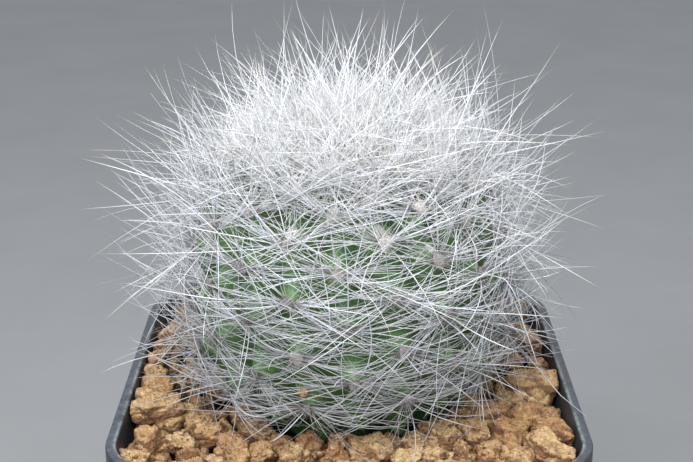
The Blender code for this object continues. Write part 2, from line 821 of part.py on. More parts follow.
def wool(chance):
    """The low woolly crown that the youngest spines stand in. Its underside follows the stem's top."""
    top = OUTLINE_HEIGHT[0] + GAP
    upper = len(OUTLINE_RADIUS) // 2
    edge = float(np.interp(WOOL_RADIUS, OUTLINE_RADIUS[:upper], OUTLINE_HEIGHT[:upper]))
    profile = [(WOOL_UNDERSIDE * WOOL_RADIUS, edge + GAP)]
    profile += [(width * WOOL_RADIUS, top + rise * WOOL_HEIGHT) for width, rise in WOOL_RINGS]
    shape = turned(profile, WOOL_SIDES)
    for vert in shape.verts:
        if vert.co.z > top:
            vert.co *= 1 + chance.uniform(-WOOL_UNEVEN, WOOL_UNEVEN)
    draw_out_cap(shape, -1, top)
    draw_out_cap(shape, 1, top + WOOL_HEIGHT)
    return shape


def choose_ties(numbers, chance):
    """For each areole, the pair of it and one of the two beside and above it, in a random order."""
    ties = {}
    for number in numbers:
        above = number - chance.choice(BESIDE)
        first, second = (number, above) if chance.random() < 0.5 else (above, number)
        ties.setdefault(first, []).append(second)
    return ties


def tie_end(first, second):
    """The tip of a sideways spine that runs from one areole into the next one's wool."""
    run = second.heart - first.heart
    return second.heart + run.normalized() * TIE_REACH * CUSHION[0][1]


def place_areoles(surface):
    """Every areole by its number, from the youngest down to the lowest over the soil."""
    last = int(np.interp(-LOWEST_AREOLE, -OUTLINE_HEIGHT, COUNT))
    areoles = {number: Areole(number, surface) for number in range(YOUNGEST, last + 1)}
    for number in range(YOUNGEST, FIRST_AREOLE):
        areoles[number].sink_into_wool()
    return areoles


def spine_shapes(surface, chance):
    """All the separate shapes that join into one: cushions with their spines, needles and ties."""
    areoles = place_areoles(surface)
    ties = choose_ties([number for number in areoles if number >= FIRST_AREOLE], chance)
    tie_ends = {number: [tie_end(areoles[number], areoles[other]) for other in others]
                for number, others in ties.items()}
    crowd = Crowd()
    for number, ends in tie_ends.items():
        for end in ends:
            heart = areoles[number].heart
            crowd.add((heart, heart.lerp(end, 0.5), end))
    shapes = []
    for number, areole in areoles.items():
        ends = tie_ends.get(number, [])
        if number < FIRST_AREOLE:
            shapes += needles_in_wool(areole, surface, crowd, chance)
        else:
            shapes.append(spiny_areole(areole, ends[0] if ends else None, surface, crowd, chance))
            ends = ends[1:]
        shapes += [needle(areole.heart, end) for end in ends]
    return shapes


def build_spines(parent, stem):
    """All the white spines, as one body: each areole is tied to one above it by a sideways spine."""
    chance = random.Random(SPINE_SEED)
    shape = bmesh.new()
    shape.from_mesh(stem.data)
    surface = BVHTree.FromBMesh(shape)
    shape.free()
    look = material("white spines", (0.80, 0.79, 0.75), 0.45)
    spines = add_object("spines", wool(chance), look, parent)
    pieces = bpy.data.collections.new("spine pieces")
    bpy.context.scene.collection.children.link(pieces)
    for made in spine_shapes(surface, chance):
        piece = add_object("spine piece", made, None, parent)
        pieces.objects.link(piece)
        bpy.context.scene.collection.objects.unlink(piece)
    apply_boolean(spines, "UNION", pieces, SPINE_SOLVER)
    keep_main_body(spines)
    return spines


def main():
    clear_scene()
    whole = add_empty("potted cactus", (0.0, 0.0, 0.0))
    plant = add_empty("plant", (0.0, 0.0, POT_HEIGHT), whole)
    build_pot(whole)
    build_soil(whole)
    stem = build_stem(plant)
    build_root(plant)
    build_spines(plant, stem)


main()
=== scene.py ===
"""The finish of the potted Eriosyce: pot, granules, ribbed stem, areoles and white spines.

Metres, +Z up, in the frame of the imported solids. The front is -Y. The plant follows the same rule as
the solids: areoles on a spiral lattice over a rounded outline, each with wool and spines.
"""
import math
import random
from itertools import product
from math import pi, radians, tau

import bmesh
import bpy
import numpy as np
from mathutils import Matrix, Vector, noise
from mathutils.geometry import delaunay_2d_cdt


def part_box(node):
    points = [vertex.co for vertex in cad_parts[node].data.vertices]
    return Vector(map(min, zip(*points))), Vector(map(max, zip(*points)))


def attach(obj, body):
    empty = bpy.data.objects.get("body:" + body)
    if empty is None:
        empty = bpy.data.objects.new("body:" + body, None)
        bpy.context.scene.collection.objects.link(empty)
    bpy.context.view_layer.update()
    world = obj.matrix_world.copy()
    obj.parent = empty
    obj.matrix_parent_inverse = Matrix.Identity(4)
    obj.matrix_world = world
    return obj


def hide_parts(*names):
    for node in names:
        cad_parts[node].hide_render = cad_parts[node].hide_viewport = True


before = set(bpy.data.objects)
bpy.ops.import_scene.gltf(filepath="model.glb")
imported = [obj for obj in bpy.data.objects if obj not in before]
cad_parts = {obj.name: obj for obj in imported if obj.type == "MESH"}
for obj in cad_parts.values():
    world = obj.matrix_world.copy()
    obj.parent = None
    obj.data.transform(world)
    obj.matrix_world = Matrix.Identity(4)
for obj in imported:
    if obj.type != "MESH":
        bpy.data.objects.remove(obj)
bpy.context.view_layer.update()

# Driving dimensions taken from the frame
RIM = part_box("pot")[1][2]
RIM_HALF = (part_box("pot")[1][0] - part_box("pot")[0][0]) / 2

# The camera, which looks down by its tilt in degrees
CAMERA_PLACE = (-0.0005, -0.2614, 0.2029)
CAMERA_TILT = 19.6
CAMERA_LENS = 72.5

# The sky and the lamps, each with its place, size, watts and colour
LAMPS = {
    "overhead": ((-0.05, -0.36, 0.56), 0.4, 3.5, (1, 0.985, 0.96)),
    "front fill": ((-0.38, -0.46, 0.44), 0.4, 2.5, (0.93, 0.96, 1)),
    "side fill": ((0.5, -0.1, 0.3), 0.3, 0.5, (1, 0.98, 0.95)),
}
SKY_COLOUR = (0.86, 0.92, 1)
SKY_STRENGTH = 0.8

# Driving dimensions of the pot
RIM_CORNER = 0.014
RIM_WIDTH = 0.002
RIM_ROUND = 0.0007
BASE_HALF = 0.032
BASE_CORNER = 0.01
BASE_ROUND = 0.0015
WALL = 0.0013
FLOOR = 0.0018
COLLAR_HEIGHT = 0.01
DRAIN_RADIUS = 0.004
DRAIN_OFFSET = 0.017
# Width of the painted highlight along the rim's inner edge
HIGHLIGHT_WIDTH = 0.00032
CORNER_STEPS = 20
SIDE_STEPS = 12
ROUND_STEPS = 7

# Driving dimensions of the granules. Drops are under the rim, and halves are half widths.
# Those in front of FRONT_GRANULES, a place along y, are made finer.
SOIL_EDGE_DROP = 0.0066
SOIL_SLOPE = 0.0006
SOIL_SEED = 5
GRANULE_DROP = (0.002, 0.0038)
GRANULE_SPACING = 0.007
GRANULE_SHIFT = 0.2
GRANULE_ASIDE = 0.0006
GRANULE_WALL_ROOM = 0.00245
GRANULE_STEM_ROOM = 0.0015
GRANULE_HALF = (0.0032, 0.0046)
FRONT_GRANULES = -0.012
WALL_GAP = 0.0003
WALL_PRESS = 0.0017

# Draws that the solids make for each granule's turn and sides. The looks pass over them.
PASSED_DRAWS = 19

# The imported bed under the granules
BED_DROP = 0.0092
BED_FLOOR = 0.003
BED_ROUGH = 0.0006
BED_RINGS = 10
ROOT_HOLE = 0.0066
ROOT_DEPTH = 0.047

# The row of smaller granules along each wall
WALL_ROW_DEPTH = 0.0026
WALL_ROW_SHIFT = 0.0006
WALL_ROW_STEP = (0.0058, 0.0094)
WALL_ROW_HALF = (0.0027, 0.0043)
WALL_ROW_DROP = (-0.0006, 0.002)
WALL_ROW_SHARE = 0.92

# The granules that the photograph shows, in millimetres: x, y, top over the rim and half width
SEEN_GRANULES = (
    (-41, 8.6, -0.1, 3.2), (-40.6, 3, -0.6, 2.9), (-40.8, 15, -0.3, 3.4), (-40.4, 22, -0.4, 3.6),
    (-39.6, -3, -0.2, 4.6), (-41.4, -15.6, 0.9, 4.6), (-34.8, -15.1, -0.9, 4.2), (-29.2, -14.2, -1.5, 4.7),
    (-38.2, -26.6, 0.2, 5.4), (-32, -25.4, -1.7, 3.0), (-29.6, -29.6, -1.3, 4.5), (-26.5, -21.7, -1.5, 4.0),
    (-21.6, -28.1, -1.3, 4.6), (-16.1, -28.9, -1.6, 3.3), (-2.8, -30.8, -1.7, 3.3), (-38.7, 16.2, -1.1, 3.2),
    (4.5, -28.9, -1.1, 4.7), (12.3, -25.8, -1.3, 3.8), (18, -25, -1.2, 4.1), (24.3, -22.2, -1.1, 3.8),
    (30.4, -21.3, -0.9, 4.5), (37.6, -29, 0.2, 4.8), (40.8, -23.6, 0.5, 4.6), (36.6, -14.2, -0.4, 5.2),
    (42, -4, 1.6, 5.2), (39.6, 6.6, -0.6, 3.3), (39.6, 18.9, -0.2, 4.1), (27.2, -12.5, -1.7, 4.5),
    (33.6, -4.4, -1.1, 5.2), (34.9, 9.1, -1.5, 2.7), (11.2, -32.8, -1.1, 3.7), (16.5, -31.6, -0.9, 3.5),
    (21.5, -29.3, -1.1, 3.2), (26.8, -30.1, -1.1, 3.2),
)
SEEN_ROOM = 0.0047

# The bit that clings to the stem, likewise but in metres
SPECK = (-0.0084, -0.0307, 0.0104, 0.0014)

# Shapes of the lumps. Each wave is given by its scale and height.
LUMP_CUTS = (8, 12)
LUMP_CUT_AT = (0.62, 0.9)
SEED_REACH = 50
LUMP_SWELL = (1.3, 3)
LUMP_WAVES = ((2.6, 1.5), (5.6, 1.0), (12.5, 0.8))
LUMP_SINK = 0.7
LUMP_WIDTH = (0.85, 1.3)
LUMP_BREADTH = (0.78, 1.0)
LUMP_HEIGHT = (0.72, 0.95)
UPPER_PART = -0.15
GRANULE_ROUGHNESS = 0.13
CRUMB_ROUGHNESS = 0.16
SPECK_ROUGHNESS = 0.08
CUSHION_ROUGHNESS = 0.2

# Crumbs in the crevices and dust on the lumps
CRUMB_DROP = (0.0032, 0.006)
CRUMB_HALF = (0.0011, 0.0025)
DUST_PER_LUMP = 2
DUST_HALF = (0.0003, 0.0008)
DUST_TOP = 0.55

# Driving dimensions of the stem, with heights over the rim
STEM_RADIUS = 0.031
STEM_MIDDLE = 0.018
STEM_RISE = 0.031
STEM_SINK = 0.03
UPPER_POWER = 2.8
LOWER_POWER = 2.4
RIBS = 20
RIB_STEP = 9
RIB_LEAN = radians(2.7)
RIB_PHASE = radians(233.6)
AREOLE_AREA = (3.4e-6, 100.6e-6)
AREOLE_SPREAD = 0.044
FURROW = 0.0034
NOTCH = 0.0016
BULGE = 0.0007
BULGE_ALONG = 0.16
BULGE_ASIDE = 0.3
SMOOTH_CROWN = 0.009
SMOOTH_BELOW = (-0.01, -0.004)
# Heights over the rim across which the painted shade at the stem's base fades out
STEM_BASE = (-0.002, 0.008)
OUTLINE_STEPS = 240
NORMAL_STEP = 0.0004
STEM_COLUMNS = 10
STEM_ROWS = 14

# The areoles' parts of the stem, by number, height or slope
PLANT_SEED = 11
YOUNGEST = 3
WOOLLESS = 14
CROWN_AREOLES = 27
LOWEST_AREOLE = 0.0035
LOW_AREOLES = 0.0105
CROWN_SLOPE = 0.8
SHOULDER_SLOPE = 0.35
CROWN_EDGE = (0.76, 0.93)
FRONT_SECTOR = radians(40)

# What every spine keeps to
ALL_ROUND = (0, tau)
UPPER_SIDE = (-0.5, pi + 0.5)
SIDES = 3
SPINE_REACH = 0.0525
SPINE_TOP = 0.075
SPINE_OVER_SOIL = 0.0015
SPINE_OVER_RIM = 0.0005
STEM_SOFTNESS = 0.02
SOIL_SOFTNESS = 0.001
SHORTENINGS = 40
SHORTENING = 0.97
FREE_ROOT = 0.25
KINKED_SHARE = 0.012
KINK_AT = 0.62
KINK = 0.8
THINNEST = 0.12
# Painted shade on the spines: the heights over the rim across which it fades, and how much of their
# whiteness spines keep low down and high up
SPINE_SHADE_HEIGHTS = (0.015, 0.028)
SPINE_SHADE_WHITENESS = (0.22, 1)
TUFT_EDGE = (0.0007, 0.0017)

# Kinds of spine: steps, room off the stem, taper, range of radii and least whiteness. The centrals' least
# whiteness is painted light, which leaves the radials painted greyer as in shade.
RADIAL = (6, 0.0005, 3.5, (0.00006, 0.00012), 0)
CENTRAL = (7, 0.0008, 4.5, (0.00007, 0.00015), 0.42)
SKIRT = (6, 0.0005, 3.5, (0.00004, 0.00006), 0)

# Radial spines, with angles in degrees
FAN_SPREAD = 14
FAN_TILT = (-2, 12)
OWN_TILT = 7
HIGH_SLOPE = (-0.3, 0.6)
LIFTED_SHARE = 0.3
LOW_LIFT = (0.75, 1)
LOW_HUG = 0.05
ALL_ROUND_SHARE = 0.15
RADIAL_LIFT = (3, 44)
LIFT_RARITY = 1.3
RADIAL_LENGTH = (0.015, 0.026)
UPRIGHT_LENGTH = (0.62, 1)
LOW_LENGTH = (0.8, 1)
RADIAL_HUG = (0.1, 0.42)
UPRIGHT_HUG = (0.4, 1)
RADIAL_RISE = (-0.08, 0.26)
RADIAL_DRIFT = 0.27
RADIAL_SEAT = (0.0001, 0.0006)

# Central spines
CENTRAL_DRIFT = 0.25
CENTRAL_RARITY = 1.8
CENTRAL_SEAT = (0.0001, 0.0007)

# The thin spines that droop round the stem's base
SKIRT_BEARINGS = (1.04 * pi, 1.96 * pi)
SKIRT_LIFT = (2, 42)
SKIRT_LENGTH = (0.008, 0.019)
SKIRT_HUG = (0.3, 0.8)
SKIRT_DRIFT = 0.45

# The crown's fleece, with more hairs at its edge
HAIR_SEAT = 0.0012
HAIR_DRIFT = 0.35
FLEECE_HAIRS = 110
EDGE_HAIRS = 190
FLEECE_LIFT = (0, 90)
FLEECE_LENGTH = (0.003, 0.0088)
FLEECE_RADIUS = (0.00006, 0.0001)
FLEECE_TAPER = 2.0
FLEECE_STEPS = 3
FLEECE_ROOM = 0.0004

# The areoles' cushions and fibres
CUSHION_HALF = (0.00115, 0.00135, 0.00082)
CUSHION_LIFT = 0.0008
PALE_TUFTS = (0.02, 0.046)
PALE_MOST = 0.8
PALE_SPREAD = 0.2
PALE_LIFT = 0.6
TUFT_SCALE = (0.75, 1.45)
TUFT_GROWTH = (0.85, 1.25)
FIBRES = 66
FIBRE_LIFT = (10, 88)
FIBRE_LENGTH = (0.001, 0.0026)
FIBRE_RADIUS = (0.00004, 0.00008)
FIBRE_TAPER = 1.5

TINY = 1e-9
CHANCE = np.random.default_rng(PLANT_SEED)


def smooth(low, high, value):
    """Rises from 0 at low to 1 at high, level at both."""
    share = np.clip((value - low) / (high - low), 0, 1)
    return share * share * (3 - 2 * share)


def between(ends, share):
    """The value at a share of the way from the first end to the second."""
    return ends[0] + (ends[1] - ends[0]) * share


def at_least(value, least, softness):
    """The value, eased up to the least where it is under it."""
    return least + softness * np.logaddexp(0, (value - least) / softness)


def unit(vectors):
    """The same directions, each of length 1."""
    return vectors / np.maximum(np.linalg.norm(vectors, axis=-1, keepdims=True), TINY)


def spread(ends, items):
    """An even random number between two ends for each item."""
    return CHANCE.uniform(*ends, len(items))


def drift(size, items):
    """A random vector for each item."""
    return CHANCE.normal(0, size, (len(items), 3))


# Objects and meshes

def put(name, data):
    """A new object of this data, in the scene."""
    item = bpy.data.objects.new(name, data)
    bpy.context.scene.collection.objects.link(item)
    return item


def mesh_of(name, shape):
    """A mesh made from a bmesh, which is freed."""
    data = bpy.data.meshes.new(name)
    shape.to_mesh(data)
    shape.free()
    return data


def add_values(data, values):
    """Gives a mesh's points the numbers that its look reads by name."""
    for name, numbers in values.items():
        made = data.attributes.new(name, "FLOAT", "POINT")
        made.data.foreach_set("value", np.asarray(numbers, np.float32))


def add_piece(name, points, faces, look, node, values=None):
    """A smooth piece made from points and faces, which rides on the one body."""
    data = bpy.data.meshes.new(name)
    data.from_pydata(np.asarray(points).tolist(), [], faces)
    data.materials.append(look.material)
    add_values(data, values or {})
    data.shade_smooth()
    piece = put(name, data)
    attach(piece, "root")
    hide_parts(node)
    return piece


def add_copies(name, shapes, triangles, tints, look, node):
    """One piece of many shapes with the same triangles, each with its own tint."""
    size = len(shapes[0])
    faces = np.vstack([triangles + number * size for number in range(len(shapes))])
    add_piece(name, np.vstack(shapes), faces.tolist(), look, node, {"tint": np.repeat(tints, size)})


def ring_faces(rings, columns):
    """Four-sided faces between closed rings of points that follow one another."""
    faces = []
    for low in range(0, (rings - 1) * columns, columns):
        for column in range(columns):
            after = (column + 1) % columns
            faces.append((low + column, low + after, low + columns + after, low + columns + column))
    return faces


def closed_faces(rings, columns):
    """The faces between rings, and one over each end."""
    last = (rings - 1) * columns
    ends = [tuple(range(columns))[::-1], tuple(range(last, last + columns))]
    return ring_faces(rings, columns) + ends


# Camera, light and floor

def add_camera():
    """A camera that looks down from the front, as in the photograph."""
    data = bpy.data.cameras.new("camera")
    data.lens = CAMERA_LENS
    data.clip_start = 0.01
    camera = put("camera", data)
    camera.location = CAMERA_PLACE
    camera.rotation_euler = (radians(90 - CAMERA_TILT), 0, 0)
    bpy.context.scene.camera = camera


def add_lamp(name, place, size, power, colour):
    """A round lamp that faces the middle of the pot's rim."""
    data = bpy.data.lights.new(name, "AREA")
    data.shape = "DISK"
    data.size = size
    data.energy = power
    data.color = colour
    lamp = put(name, data)
    lamp.location = place
    lamp.rotation_euler = (Vector((0, 0, RIM)) - Vector(place)).to_track_quat("-Z", "Y").to_euler()


def add_studio():
    """Soft light from overhead with a gentle fill, and a pale floor."""
    for name, values in LAMPS.items():
        add_lamp(name, *values)
    world = bpy.data.worlds.new("studio")
    world.use_nodes = True
    background = world.node_tree.nodes["Background"]
    background.inputs["Color"].default_value = (*SKY_COLOUR, 1)
    background.inputs["Strength"].default_value = SKY_STRENGTH
    bpy.context.scene.world = world
    bpy.context.scene.view_settings.view_transform = "Standard"

    shape = bmesh.new()
    bmesh.ops.create_grid(shape, x_segments=2, y_segments=2, size=12.0)
    floor = put("floor", mesh_of("floor", shape))
    floor.data.materials.append(floor_look().material)


# Materials

class Look:
    """A material, with short calls for the nodes of its colour and bump."""

    def __init__(self, name, roughness, specular):
        self.material = bpy.data.materials.new(name)
        self.material.use_nodes = True
        self.tree = self.material.node_tree
        self.shader = self.tree.nodes["Principled BSDF"]
        self.place = self.node("TexCoord").outputs["Object"]
        self.set("Roughness", roughness)
        self.set("Specular IOR Level", specular)

    def feed(self, socket, value):
        """Sets an input to a number or colour, or links it to an output."""
        if isinstance(value, bpy.types.NodeSocket):
            self.tree.links.new(value, socket)
        else:
            socket.default_value = (*value, 1) if isinstance(value, tuple) else value

    def node(self, kind, **values):
        """A new node with some of its inputs fed."""
        made = self.tree.nodes.new("ShaderNode" + kind)
        for name, value in values.items():
            self.feed(made.inputs[name], value)
        return made

    def set(self, name, value):
        self.feed(self.shader.inputs[name], value)

    def noise(self, size, detail, roughness=0.55, *stops):
        """Noise whose features are about this size in metres."""
        node = self.node("TexNoise", Scale=1 / size, Detail=detail, Roughness=roughness, Vector=self.place)
        return self.ramp(node.outputs["Fac"], *stops)

    def cells(self, size, *stops):
        """Distance from the middle of the nearest cell, for cells this large."""
        node = self.node("TexVoronoi", Scale=1 / size, Vector=self.place)
        return self.ramp(node.outputs["Distance"], *stops)

    def attribute(self, name, *stops):
        node = self.node("Attribute")
        node.attribute_name = name
        return self.ramp(node.outputs["Fac"], *stops)

    def upward(self, *stops):
        """How far the surface faces up, from -1 to 1."""
        node = self.node("SeparateXYZ", Vector=self.node("NewGeometry").outputs["Normal"])
        return self.ramp(node.outputs["Z"], *stops)

    def ramp(self, source, *stops):
        """Maps a value through any stops, each a position and a value or colour."""
        if not stops:
            return source
        node = self.node("ValToRGB", Fac=source)
        points = node.color_ramp.elements
        while len(points) < len(stops):
            points.new(0.5)
        for point, (position, value) in zip(points, stops):
            point.position = position
            colour = value if isinstance(value, tuple) else (value, value, value)
            point.color = (*colour, 1)
        return node.outputs["Color"]

    def mix(self, share, first, second, kind="MIX"):
        """Mixes two colours, each a socket or a plain colour."""
        node = self.node("Mix")
        node.data_type = "RGBA"
        node.blend_type = kind
        for number, value in zip((0, 6, 7), (share, first, second)):
            self.feed(node.inputs[number], value)
        return node.outputs[2]

    def times(self, first, second):
        node = self.node("Math")
        node.operation = "MULTIPLY"
        self.feed(node.inputs[0], first)
        self.feed(node.inputs[1], second)
        return node.outputs[0]

    def bump(self, source, depth):
        """Adds relief of this depth in metres, over any relief added before."""
        node = self.node("Bump", Distance=depth, Height=source)
        before = self.shader.inputs["Normal"]
        if before.is_linked:
            self.feed(node.inputs["Normal"], before.links[0].from_socket)
        self.feed(before, node.outputs["Normal"])


def grained_look(name, roughness, specular, grain, low, high, relief=None):
    """Two shades mixed by noise. Relief gives its own noise's values and its depth."""
    look = Look(name, roughness, specular)
    look.set("Base Color", look.noise(*grain, low, high))
    if relief:
        look.bump(look.noise(*relief[:3]), relief[3])
    return look


def floor_look():
    return grained_look("pale floor", 0.85, 0.2, (0.05, 4, 0.55),
                        (0.3, (0.27, 0.272, 0.275)), (0.7, (0.29, 0.292, 0.295)))


def pot_look():
    """Dark blue-grey plastic with a fine grain and dusty on top, with a painted highlight along the rim's
    inner edge and painted shade inside.
    """
    look = Look("dark blue-grey plastic", 0.42, 0.45)
    base = look.noise(0.006, 5, 0.65, (0.35, (0.02, 0.025, 0.03)), (0.7, (0.034, 0.041, 0.048)))
    top = look.times(look.upward((0.55, 0), (0.95, 1)),
                     look.noise(0.0035, 6, 0.7, (0.3, 0.45), (0.62, 1)))
    dust = look.noise(0.0016, 5, 0.75, (0.34, (0.036, 0.042, 0.054)),
                      (0.52, (0.062, 0.07, 0.082)), (0.68, (0.105, 0.118, 0.13)))
    dusty = look.mix(top, base, dust)
    # Painted highlight: a pale, broken line along the rim's inner edge.
    painted_highlight = look.times(look.attribute("painted_highlight"),
                      look.noise(0.005, 6, 0.8, (0.42, 0.1), (0.58, 1)))
    highlighted = look.mix(painted_highlight, dusty, (0.3, 0.34, 0.36))
    stain = look.noise(0.0022, 3, 0.6, (0.64, 0), (0.74, 1))
    stained = look.mix(look.times(stain, 0.5), highlighted, (0.02, 0.025, 0.03))
    # Painted shade: the inside of the pot is painted near black and bluish, with little specular, as the
    # shade inside it.
    inside = look.attribute("inside")
    look.set("Base Color", look.mix(look.times(inside, 0.9), stained, (0.01, 0.019, 0.03)))
    look.set("Specular IOR Level", look.ramp(inside, (0, 0.42), (1, 0.06)))
    look.set("Roughness", look.noise(0.0015, 4, 0.55, (0.3, 0.36), (0.7, 0.56)))
    look.bump(look.noise(0.0004, 3), 0.00003)
    look.bump(look.noise(0.004, 2), 0.0001)
    return look


def bed_look():
    """The damp mix under the granules, seen only in the gaps."""
    return grained_look("damp mix", 0.95, 0.1, (0.0012, 5, 0.7), (0.35, (0.05, 0.03, 0.018)),
                        (0.7, (0.13, 0.08, 0.045)), (0.001, 5, 0.7, 0.0008))


def granule_look(name, side_shade):
    """Fired clay: ochre with pale grains, with painted shade as dark dots in its pores, and painted shade,
    darker and redder, on its sides and underneath.
    """
    look = Look(name, 0.95, 0.15)
    grains = look.noise(0.0009, 5, 0.7, (0.3, (0.33, 0.205, 0.102)), (0.5, (0.6, 0.42, 0.23)),
                        (0.72, (0.82, 0.65, 0.42)))
    own = look.mix(look.attribute("tint"), (0.8, 0.66, 0.56), (1.12, 1.12, 1.05))
    tinted = look.mix(1, grains, own, "MULTIPLY")
    red = look.noise(0.0028, 3, 0.6, (0.48, 0), (0.66, 0.55))
    patched = look.mix(red, tinted, (0.29, 0.125, 0.058))
    # Painted shade: faces that turn sideways or down are painted darker and redder.
    sideways = look.upward((0.38, side_shade), (0.8, 0))
    side_shaded = look.mix(sideways, patched, (0.185, 0.085, 0.045))
    pale = look.cells(0.0016, (0.08, 0.5), (0.18, 0))
    specked = look.mix(pale, side_shaded, (0.7, 0.55, 0.35))
    # Painted shade: small dark dots where the pores hold shade
    pit_shade = look.noise(0.0006, 2, 0.5, (0.3, 0.85), (0.38, 0))
    look.set("Base Color", look.mix(pit_shade, specked, (0.075, 0.032, 0.014)))
    look.bump(look.noise(0.0011, 6, 0.75), 0.0008)
    look.bump(look.cells(0.0007), 0.0003)
    return look


def stem_look():
    """Waxy green skin with fine pale dots and white with wool at the crown, with painted light on the
    tubercles and painted shade in the furrows and at the base.
    """
    look = Look("green stem", 0.42, 0.5)
    patches = look.noise(0.007, 4, 0.6, (0.32, (0.058, 0.14, 0.043)),
                         (0.52, (0.112, 0.25, 0.078)), (0.72, (0.205, 0.38, 0.14)))
    # Painted light and shade: lighter on the tubercles, darker in the furrows, between the tubercles and at
    # the base
    painted_rib_light = look.mix(look.attribute("crest"), (0.34, 0.4, 0.32), (1.2, 1.16, 1.05))
    tinted = look.mix(1, patches, painted_rib_light, "MULTIPLY")
    dots = look.cells(0.0006, (0.12, 0.45), (0.3, 0))
    dotted = look.mix(dots, tinted, (0.25, 0.39, 0.18))
    woolly = look.upward((0.72, 0), (0.82, 0.95))
    look.set("Base Color", look.mix(woolly, dotted, (0.84, 0.82, 0.77)))
    look.bump(look.cells(0.0005), 0.00004)
    look.bump(look.noise(0.002, 3), 0.00012)
    look.set("Subsurface Weight", 0.06)
    look.shader.inputs["Subsurface Radius"].default_value = (0.0006, 0.0012, 0.0003)
    return look


def spine_look(name, low, middle, high):
    """Chalky white needles, pinkish at the root and horn-coloured at some tips. Their tint picks a shade
    from grey to white, which carries painted shade and light.
    """
    look = Look(name, 0.38, 0.45)
    tint = look.attribute("tint")
    along = look.attribute("along")
    own = look.ramp(tint, (0, low), (0.35, middle), (1, high))
    rooted = look.mix(look.ramp(along, (0, 0.65), (0.14, 0)), own, (0.7, 0.63, 0.62))
    tip = look.times(look.ramp(along, (0.72, 0), (1, 0.9)), look.ramp(tint, (0.55, 0), (0.7, 1)))
    look.set("Base Color", look.mix(tip, rooted, (0.5, 0.41, 0.27)))
    look.bump(look.noise(0.0005, 3), 0.00003)
    return look


def wool_look(name, old, young):
    """Matted wool: an old and a young kind of two shades each, mixed by each tuft's tint."""
    look = Look(name, 0.95, 0.1)
    depth = look.noise(0.0006, 4, 0.7)
    shades = [look.ramp(depth, (0.35, low), (0.62, high)) for low, high in (old, young)]
    look.set("Base Color", look.mix(look.attribute("tint"), *shades))
    look.bump(look.noise(0.0003, 4, 0.7), 0.00015)
    look.set("Sheen Weight", 0.4)
    return look


def root_look():
    return grained_look("brown root", 0.85, 0.2, (0.002, 5, 0.7), (0.35, (0.1, 0.055, 0.028)),
                        (0.7, (0.22, 0.13, 0.07)), (0.0008, 4, 0.7, 0.0003))


# Pot

def rounded_square(half, middle, height):
    """A level square with its sides at half, and round corners centred at middle, both ways."""
    turn = pi / 2 * (np.arange(4)[:, None] + np.linspace(0, 1, CORNER_STEPS + 1))
    middles = middle * np.array([(1, 1), (-1, 1), (-1, -1), (1, -1)])
    arcs = middles[:, None] + (half - middle) * np.stack([np.cos(turn), np.sin(turn)], axis=-1)
    shares = np.arange(1, SIDE_STEPS)[:, None] / SIDE_STEPS
    sides = arcs[:, -1:] + (np.roll(arcs, -1, axis=0)[:, :1] - arcs[:, -1:]) * shares
    flat = np.concatenate([arcs, sides], axis=1).reshape(-1, 2)
    return np.column_stack([flat, np.full(len(flat), height)])


def wall_middle(height):
    """Where the corners' centres lie at a height, inside and outside the wall."""
    share = height / RIM
    return (BASE_HALF - BASE_CORNER) * (1 - share) + (RIM_HALF - RIM_CORNER) * share


def inner_half(height):
    """Half the width inside the pot's walls."""
    share = height / RIM
    return (BASE_HALF - WALL) * (1 - share) + (RIM_HALF - RIM_WIDTH) * share


def square_half(points):
    """The half width of the rounded square through each point."""
    middle = wall_middle(points[:, 2])
    over = np.maximum(np.abs(points[:, :2]) - middle[:, None], 0)
    inner = np.abs(points[:, :2]).max(axis=1)
    return np.where(over.max(axis=1) > 0, middle + np.hypot(over[:, 0], over[:, 1]), inner)


def rounded_path(corners):
    """A path with each corner, given with its radius, turned into a curve."""
    places = np.array([corner[:-1] for corner in corners])
    path = [places[0]]
    for before, place, after, corner in zip(places, places[1:], places[2:], corners[1:]):
        start = place + unit(before - place) * corner[-1]
        end = place + unit(after - place) * corner[-1]
        for share in np.linspace(0, 1, ROUND_STEPS):
            path.append(start * (1 - share) ** 2 + place * 2 * share * (1 - share) + end * share ** 2)
    return path + [places[-1]]


def pot_path():
    """Half width, height and corners' middle along the pot's section, from underneath to inside."""
    collar = RIM - COLLAR_HEIGHT
    rim_middle = wall_middle(RIM)
    base_middle = wall_middle(0)
    return rounded_path([
        (BASE_HALF - 2 * BASE_CORNER / 3, 0, base_middle, 0),
        (BASE_HALF, 0, base_middle, BASE_ROUND),
        (inner_half(collar) + WALL, collar, wall_middle(collar), RIM_ROUND / 2),
        (RIM_HALF, collar, rim_middle, RIM_ROUND),
        (RIM_HALF, RIM, rim_middle, RIM_ROUND),
        (RIM_HALF - RIM_WIDTH, RIM, rim_middle, RIM_ROUND),
        (inner_half(FLOOR), FLOOR, wall_middle(FLOOR), WALL),
        (inner_half(FLOOR) - BASE_CORNER / 2, FLOOR, wall_middle(FLOOR), 0),
    ])


def drill_drains(pot):
    """Cuts the four drain holes through the pot's floor."""
    for side_x, side_y in product((-1, 1), repeat=2):
        shape = bmesh.new()
        bmesh.ops.create_cone(shape, cap_ends=True, segments=32, radius1=DRAIN_RADIUS,
                              radius2=DRAIN_RADIUS, depth=4 * FLOOR)
        place = (side_x * DRAIN_OFFSET, side_y * DRAIN_OFFSET, 0)
        bmesh.ops.translate(shape, vec=place, verts=shape.verts)
        drill = put("drain drill", mesh_of("drain drill", shape))
        cut = pot.modifiers.new("drain", "BOOLEAN")
        cut.operation = "DIFFERENCE"
        cut.object = drill
        graph = bpy.context.evaluated_depsgraph_get()
        pot.data = bpy.data.meshes.new_from_object(pot.evaluated_get(graph))
        pot.modifiers.clear()
        bpy.data.objects.remove(drill)


